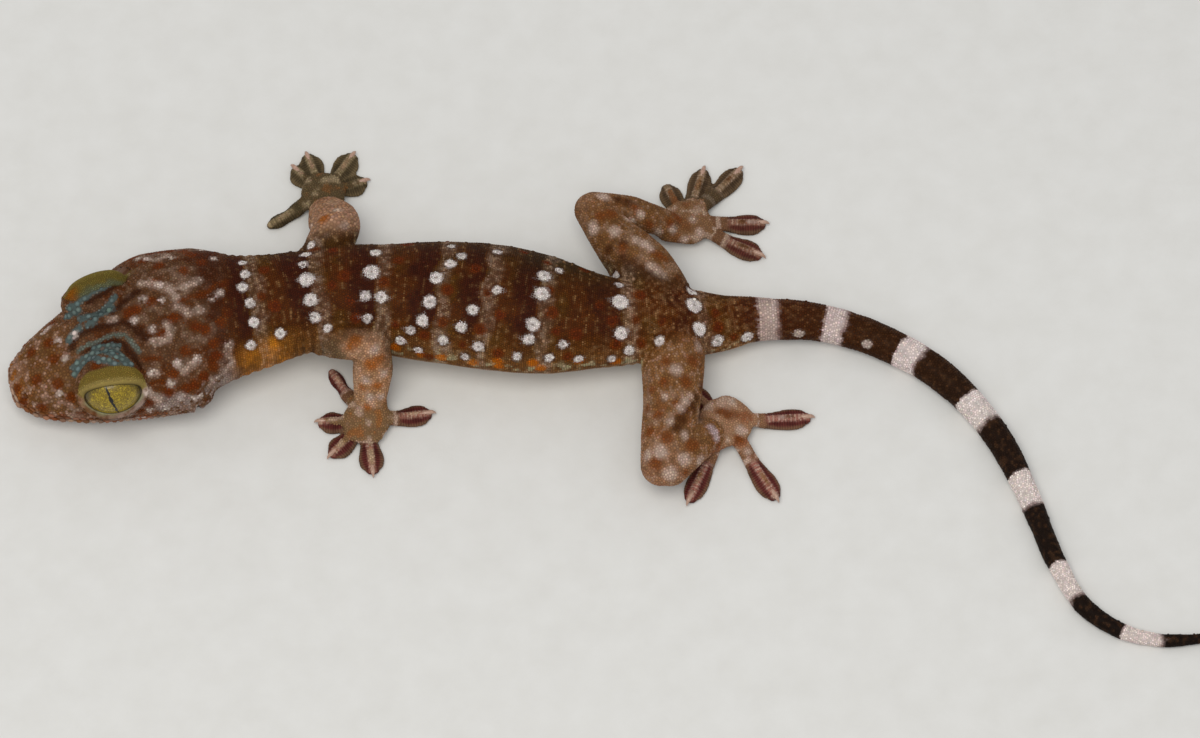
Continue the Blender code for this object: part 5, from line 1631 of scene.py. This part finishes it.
def domeMesh(name, points, normals, outline, tall, paint, shadeTints, unwrap):
    # every scale: a floor, a wall that leans in and a flat cone on top, in vertices counted scale by scale
    first, second, turns, reach = outline
    sides, count = coatLook["sides"], len(points)
    (high, narrow), patchSizes = coatLook["shoulder"], coatLook["patches"]
    each = 2 * sides + 1
    flat = first[:, None] * np.cos(turns)[:, :, None] + second[:, None] * np.sin(turns)[:, :, None]
    spots = np.empty((count, each, 3))
    low = points - normals * skinLook["inset"]
    mid = points + normals * (tall * high)[:, None]
    spots[:, :sides] = low[:, None] + flat * reach[:, :, None]
    spots[:, sides:2 * sides] = mid[:, None] + flat * (reach * narrow)[:, :, None]
    spots[:, 2 * sides] = points + normals * tall[:, None]
    spots[:, :, 2] = np.maximum(spots[:, :, 2], 0.003)
    # each scale is painted darker at its foot and lighter at its top: painted shade and painted highlight
    colours = np.empty((count, each, 3))
    colours[:, :sides] = (paint * shadeTints[:, :1])[:, None]
    colours[:, sides:2 * sides] = (paint * shadeTints[:, 1:2])[:, None]
    colours[:, 2 * sides] = paint * shadeTints[:, 2:]
    grid = np.arange(sides)
    nextOne = (grid + 1) % sides
    walls = np.stack((grid, nextOne, nextOne + sides, grid + sides), axis=1)
    tops = np.stack((grid + sides, nextOne + sides, np.full(sides, 2 * sides)), axis=1)
    loops = np.concatenate((walls.ravel(), tops.ravel(), grid[::-1]))
    totals = np.tile(np.concatenate((np.full(sides, 4), np.full(sides, 3), (sides,))), count)
    loops = (loops[None] + (np.arange(count) * each)[:, None]).ravel()
    data = bpy.data.meshes.new(name)
    data.vertices.add(count * each)
    data.vertices.foreach_set("co", (spots * mm).astype(np.float32).ravel())
    data.loops.add(len(loops))
    data.loops.foreach_set("vertex_index", loops.astype(np.int32))
    data.polygons.add(len(totals))
    starts = np.concatenate(((0,), np.cumsum(totals)[:-1]))
    data.polygons.foreach_set("loop_start", starts.astype(np.int32))
    data.update(calc_edges=True)
    setColours(data, "coatColour", np.clip(colours, 0, 1).reshape(-1, 3))
    # each scale is a tiny patch of the bake, at its root's place on the unwrap
    patch = np.zeros((count, each, 2))
    ring = np.stack((np.cos(turns), np.sin(turns)), axis=2)
    patch[:, :sides] = ring * patchSizes[0]
    patch[:, sides:2 * sides] = ring * patchSizes[1]
    patch += unwrap[:, None]
    chart = data.uv_layers.new(name="OFBake")
    chart.data.foreach_set("uv", patch.reshape(-1, 2)[loops].astype(np.float32).ravel())
    data.polygons.foreach_set("use_smooth", np.ones(len(totals), bool))
    data.validate()
    piece = bpy.data.objects.new(name, data)
    bpy.context.scene.collection.objects.link(piece)
    return piece


coatPieces = (  # name, colour slot
    ("coat_snout", "skin_brown"), ("coat_nape", "skin_brown"), ("coat_neck", "skin_brown"),
    ("coat_shoulders", "skin_brown"), ("coat_back", "skin_brown"), ("coat_hips", "skin_brown"),
    ("coat_hands", "toe_maroon"), ("coat_feet", "toe_maroon"), ("coat_arms", "leg_tan"),
    ("coat_legs", "leg_tan"), ("coat_tail", "tail_banded"),
)
coatEnds = (15, 26, 41, 53, 66, 86)  # how far from the snout the first six end


def pieceNumbers(place):
    onLimb = place["onLimb"] > 0.5
    onFoot = onLimb & (place["onFoot"] > 0.5)
    tests = [onFoot & (place["foot"] < 2), onFoot, onLimb & (place["limb"] % 2 == 0), onLimb]
    return np.select(tests + [place["run"] < end for end in coatEnds], [6, 7, 8, 9, 0, 1, 2, 3, 4, 5], 10)


def unwrapped(number, place, normals):
    if number in (6, 7, 8, 9):
        # hands, feet and limbs lie side by side on the unwrap, and so do their upper and lower faces
        lane = np.clip(place["foot"] if number < 8 else place["limb"], 0, 3)
        along = (place["toeRun"] + 2.5 * place["toe"]) / 24 if number < 8 else place["limbRun"] / 26
        u = (lane + 0.05 + 0.9 * along) / 4
        turn = np.degrees(np.arctan2(normals[:, 1], normals[:, 2]))
    else:
        run, turn = place["run"], place["angle"]
        u = (run - run.min()) / (run.max() - run.min())
    return np.column_stack((0.01 + 0.98 * np.clip(u, 0, 1), 0.01 + 0.98 * (turn + 180) / 360))


coats = []
roots, rootNormals, reaches, talls = growScales()
print("stage: grown", len(roots), "scales")
scalePlace = placeOf(roots)
scalePaint = paintAt(roots, scalePlace)
jitter = 1 + 0.14 * dice.normal(size=len(roots)).clip(-2, 2)
scalePaint = scalePaint * jitter[:, None] * (1 + 0.03 * dice.normal(size=(len(roots), 3)))
shadeTints = np.tile(coatLook["shadeTints"]["body"], (len(roots), 1))
shadeTints[scalePlace["run"] < 24] = coatLook["shadeTints"]["head"]
shadeTints[spotShare(roots, spotCentres, spotRadii)[0] > 0.5] = coatLook["shadeTints"]["spot"]
blueScale = blueShare(roots, scalePlace) > 0.5
shadeTints[blueScale] = coatLook["shadeTints"]["blue"]
outline = outlines(roots, rootNormals, reaches)
least, more = coatLook["unevenTall"]
height = coatLook["tall"] * outline[3].mean(1) * talls * (least + more * dice.random(len(roots)))
height = height * np.where(blueScale, coatLook["blueTall"], 1.0)
group = pieceNumbers(scalePlace)
for number, (name, slotName) in enumerate(coatPieces):
    some = group == number
    unwrap = unwrapped(number, {key: value[some] for key, value in scalePlace.items()}, rootNormals[some])
    piece = domeMesh(name, roots[some], rootNormals[some], [part[some] for part in outline], height[some],
                     scalePaint[some], shadeTints[some], unwrap)
    coats.append((piece, slotName))
    print("stage:", name, some.sum(), "scales,", some.sum() * (4 * coatLook["sides"] - 2), "triangles")

finished = bmesh.new()
finished.from_mesh(skin.data)
bmesh.ops.scale(finished, vec=(mm,) * 3, verts=finished.verts)
for face in finished.faces:
    face.smooth = True
finished.to_mesh(skin.data)
finished.free()


# Materials
def newMaterial(name):
    material = bpy.data.materials.new(name)
    material.use_nodes = True
    nodes = material.node_tree.nodes
    return material, nodes, nodes["Principled BSDF"]


def feed(node, sockets):
    # gives each socket a value, or another node's output
    for key, value in sockets.items():
        if isinstance(value, bpy.types.NodeSocket):
            node.id_data.links.new(value, node.inputs[key])
        else:
            node.inputs[key].default_value = value


def addNode(nodes, kind, sockets, **settings):
    node = nodes.new(kind)
    for key, value in settings.items():
        setattr(node, key, value)
    feed(node, sockets)
    return node.outputs


def maths(nodes, operation, *values, clamp=False):
    sockets = dict(enumerate(values))
    return addNode(nodes, "ShaderNodeMath", sockets, operation=operation, use_clamp=clamp)[0]


def blended(nodes, share, *colours):
    # two colours, each in levels or another node's output
    colours = [(*tone(*colour), 1) if isinstance(colour, tuple) else colour for colour in colours]
    sockets = {"Factor": share, 6: colours[0], 7: colours[1]}
    return addNode(nodes, "ShaderNodeMix", sockets, data_type="RGBA")[2]


def attribute(nodes, name, output):
    return addNode(nodes, "ShaderNodeAttribute", {}, attribute_name=name)[output]


def noiseOf(nodes, where, **sockets):
    return addNode(nodes, "ShaderNodeTexNoise", {"Vector": where, **sockets})


def bumped(nodes, height, strength, distance, normal=None):
    sockets = {"Strength": strength, "Distance": distance, "Height": height}
    if normal is not None:
        sockets["Normal"] = normal
    return addNode(nodes, "ShaderNodeBump", sockets)["Normal"]


def onObject(nodes):
    return addNode(nodes, "ShaderNodeTexCoord", {})["Object"]


scaleFinish = {
    # roughness, size of the grain, strength of its bump, strength of the flecks
    "gecko_skin": (0.55, 9000.0, 0.5, 0.2), "gecko_scales": (0.5, 14000.0, 0.35, 0.1),
    "specular": 0.07, "grainDeep": 0.00004,
    "padLines": 0.3, "padGrooveShade": 0.22, "padBump": 0.6, "padDeep": 0.00006,  # the plates under the pads
}


def scaleMaterial(name, colourName, lined=False):
    roughness, grain, bumpiness, flecks = scaleFinish[name]
    material, nodes, shader = newMaterial(name)
    fine = noiseOf(nodes, onObject(nodes), Scale=grain, Detail=3.0, Roughness=0.6)["Fac"]
    shades = {"Value": fine, "From Min": 0.3, "From Max": 0.7, "To Min": 1 - flecks, "To Max": 1 + flecks}
    shade = addNode(nodes, "ShaderNodeMapRange", shades)["Result"]
    sheens = {"Value": fine, "To Min": roughness - 0.08, "To Max": roughness + 0.12}
    sheen = addNode(nodes, "ShaderNodeMapRange", sheens)["Result"]
    normal = bumped(nodes, fine, bumpiness, scaleFinish["grainDeep"])
    if lined:
        # the plates under each pad show as fine lines across it: a bump, with painted shade in the grooves
        # and painted light on the plates
        parts = addNode(nodes, "ShaderNodeSeparateXYZ", {"Vector": attribute(nodes, "padRun", "Vector")})
        turns = maths(nodes, "MULTIPLY", parts["X"], 2 * math.pi / scaleFinish["padLines"])
        wave = maths(nodes, "SINE", turns)
        height = maths(nodes, "MULTIPLY", wave, parts["Y"])
        darker = maths(nodes, "MULTIPLY_ADD", height, scaleFinish["padGrooveShade"], 1.0)
        shade = maths(nodes, "MULTIPLY", darker, shade)
        normal = bumped(nodes, height, scaleFinish["padBump"], scaleFinish["padDeep"], normal)
    colour = attribute(nodes, colourName, "Color")
    tint = addNode(nodes, "ShaderNodeVectorMath", {0: colour, "Scale": shade}, operation="SCALE")["Vector"]
    feed(shader, {"Base Color": tint, "Roughness": sheen, "Normal": normal,
                  "Specular IOR Level": scaleFinish["specular"]})
    return material


def eyeMaterial():
    material, nodes, shader = newMaterial("gold_iris")
    gaze = attribute(nodes, "gaze", "Vector")
    parts = addNode(nodes, "ShaderNodeSeparateXYZ", {"Vector": gaze})
    x, z = parts["X"], parts["Z"]

    def times(one, two, clamp=False):
        return maths(nodes, "MULTIPLY", one, two, clamp=clamp)

    def plus(one, two):
        return maths(nodes, "ADD", one, two)

    def minus(one, two, clamp=False):
        return maths(nodes, "SUBTRACT", one, two, clamp=clamp)

    veins = noiseOf(nodes, gaze, Scale=eyeLook["veinSize"], Detail=6.0, Roughness=0.68, Distortion=1.4)
    wavy = addNode(nodes, "ShaderNodeVectorMath", {0: veins["Color"], "Scale": 0.14}, operation="SCALE")
    bent = addNode(nodes, "ShaderNodeVectorMath", {0: gaze, 1: wavy["Vector"]}, operation="ADD")
    web = {"Vector": bent["Vector"], "Scale": eyeLook["webSize"]}
    cells = addNode(nodes, "ShaderNodeTexVoronoi", web, feature="DISTANCE_TO_EDGE")
    lines = minus(1.0, times(cells["Distance"], 9.0, True), True)
    paleShare = times(minus(veins["Fac"], 0.46), 4.6, True)
    gold = blended(nodes, paleShare, eyeLook["iris"], eyeLook["irisPale"])
    gold = blended(nodes, times(lines, eyeLook["webStrength"]), gold, eyeLook["irisDark"])
    # the rim of the iris gets darker towards the lids: partly the iris's own dark rim, partly painted shade
    # under the lids
    wide, tall = times(x, 1.12), times(z, 1.26)
    out = maths(nodes, "SQRT", plus(maths(nodes, "POWER", wide, 2.0), maths(nodes, "POWER", tall, 2.0)))
    gold = blended(nodes, times(minus(out, eyeLook["edgeFrom"]), 5.0, True), gold, eyeLook["edge"])
    # the slit: upright, leaning a little, with notched edges, widest in the middle
    notch = noiseOf(nodes, gaze, Scale=7.0, Detail=1.0)["Fac"]
    middle = plus(plus(x, eyeLook["lean"][0]), times(z, eyeLook["lean"][1]))
    middle = plus(middle, times(minus(notch, 0.5), 0.12))
    pins = maths(nodes, "ABSOLUTE", maths(nodes, "SINE", times(z, eyeLook["notches"])))
    taper = times(minus(1.0, maths(nodes, "ABSOLUTE", z)), eyeLook["slitWide"])
    wide = times(plus(times(pins, 0.5), 0.65), taper)
    slit = times(plus(minus(wide, maths(nodes, "ABSOLUTE", middle)), 0.006), 110.0, True)
    feed(shader, {
        "Base Color": blended(nodes, slit, gold, eyeLook["slit"]),
        "Normal": bumped(nodes, veins["Fac"], *eyeLook["veinBump"]), "Roughness": eyeLook["rough"],
        "Specular IOR Level": 0.3, "Coat Weight": eyeLook["gloss"], "Coat Roughness": 0.04})
    return material


def clawMaterial():
    material, nodes, shader = newMaterial("claw_horn")
    fibre = noiseOf(nodes, onObject(nodes), Scale=5200.0, Detail=2.0)["Fac"]
    feed(shader, {"Base Color": blended(nodes, fibre, (140, 104, 88), (204, 170, 150)), "Roughness": 0.3})
    return material


def floorMaterial():
    material, nodes, shader = newMaterial("pale_floor")
    grain = noiseOf(nodes, onObject(nodes), Scale=260.0, Detail=5.0, Roughness=0.55)["Fac"]
    feed(shader, {
        "Base Color": blended(nodes, grain, (214, 214, 211), (226, 227, 226)), "Roughness": 0.7,
        "Specular IOR Level": 0.2, "Normal": bumped(nodes, grain, 0.18, 0.0004)})
    return material


skin.data.materials.clear()
skin.data.materials.append(scaleMaterial("gecko_skin", "skinColour", True))
coatMaterial = scaleMaterial("gecko_scales", "coatColour")
for piece, slotName in coats:
    piece.data.materials.append(coatMaterial)
irisMaterial = eyeMaterial()
for eye in eyes:
    eye.data.materials.append(irisMaterial)
claws.data.materials.append(clawMaterial())

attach(skin, "root")
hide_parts(*[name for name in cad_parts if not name.startswith("eye")])
for piece, slotName in coats:
    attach(piece, "root")
for eye, node in zip(eyes, ("eye_left", "eye_right")):
    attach(eye, "root")
    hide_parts(node)
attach(claws, "root")
print("stage: materials given")

# The floor, the light and the camera
floorForm = bmesh.new()
bmesh.ops.create_grid(floorForm, x_segments=8, y_segments=8, size=1.2)
floor = placed("floor", floorForm, 1.0)
floor.data.materials.append(floorMaterial())

lightLook = {"at": (-0.1, -0.22, 0.66), "size": 0.5, "power": 2.6, "tone": (255, 251, 243), "sky": 0.55}
lamp = bpy.data.lights.new("key", "AREA")
lamp.shape = "DISK"
lamp.size = lightLook["size"]
lamp.energy = lightLook["power"]
lamp.color = tone(*lightLook["tone"])
light = bpy.data.objects.new("key", lamp)
light.location = lightLook["at"]
light.rotation_euler = (-Vector(lightLook["at"])).to_track_quat("-Z", "Y").to_euler()
bpy.context.scene.collection.objects.link(light)
world = bpy.data.worlds.new("soft_room")
world.use_nodes = True
feed(world.node_tree.nodes["Background"], {"Color": (*tone(250, 250, 252), 1), "Strength": lightLook["sky"]})
bpy.context.scene.world = world
bpy.context.scene.view_settings.view_transform = "Standard"

viewFrom = {"target": (-4.505, 3.54, 0), "elevation": 62.0, "lens": 200.0, "sensor": 36, "across": 138.0}
lens = bpy.data.cameras.new("camera")
lens.lens = viewFrom["lens"]
lens.sensor_width = viewFrom["sensor"]
lens.clip_start = 0.01
camera = bpy.data.objects.new("camera", lens)
tilt = math.radians(viewFrom["elevation"])
distance = viewFrom["across"] * viewFrom["lens"] / viewFrom["sensor"]
camera.location = (Vector(viewFrom["target"]) + Vector((0, -math.cos(tilt), math.sin(tilt))) * distance) * mm
camera.rotation_euler = (math.radians(90) - tilt, 0, 0)
bpy.context.scene.collection.objects.link(camera)
bpy.context.scene.camera = camera

bpy.context.view_layer.update()
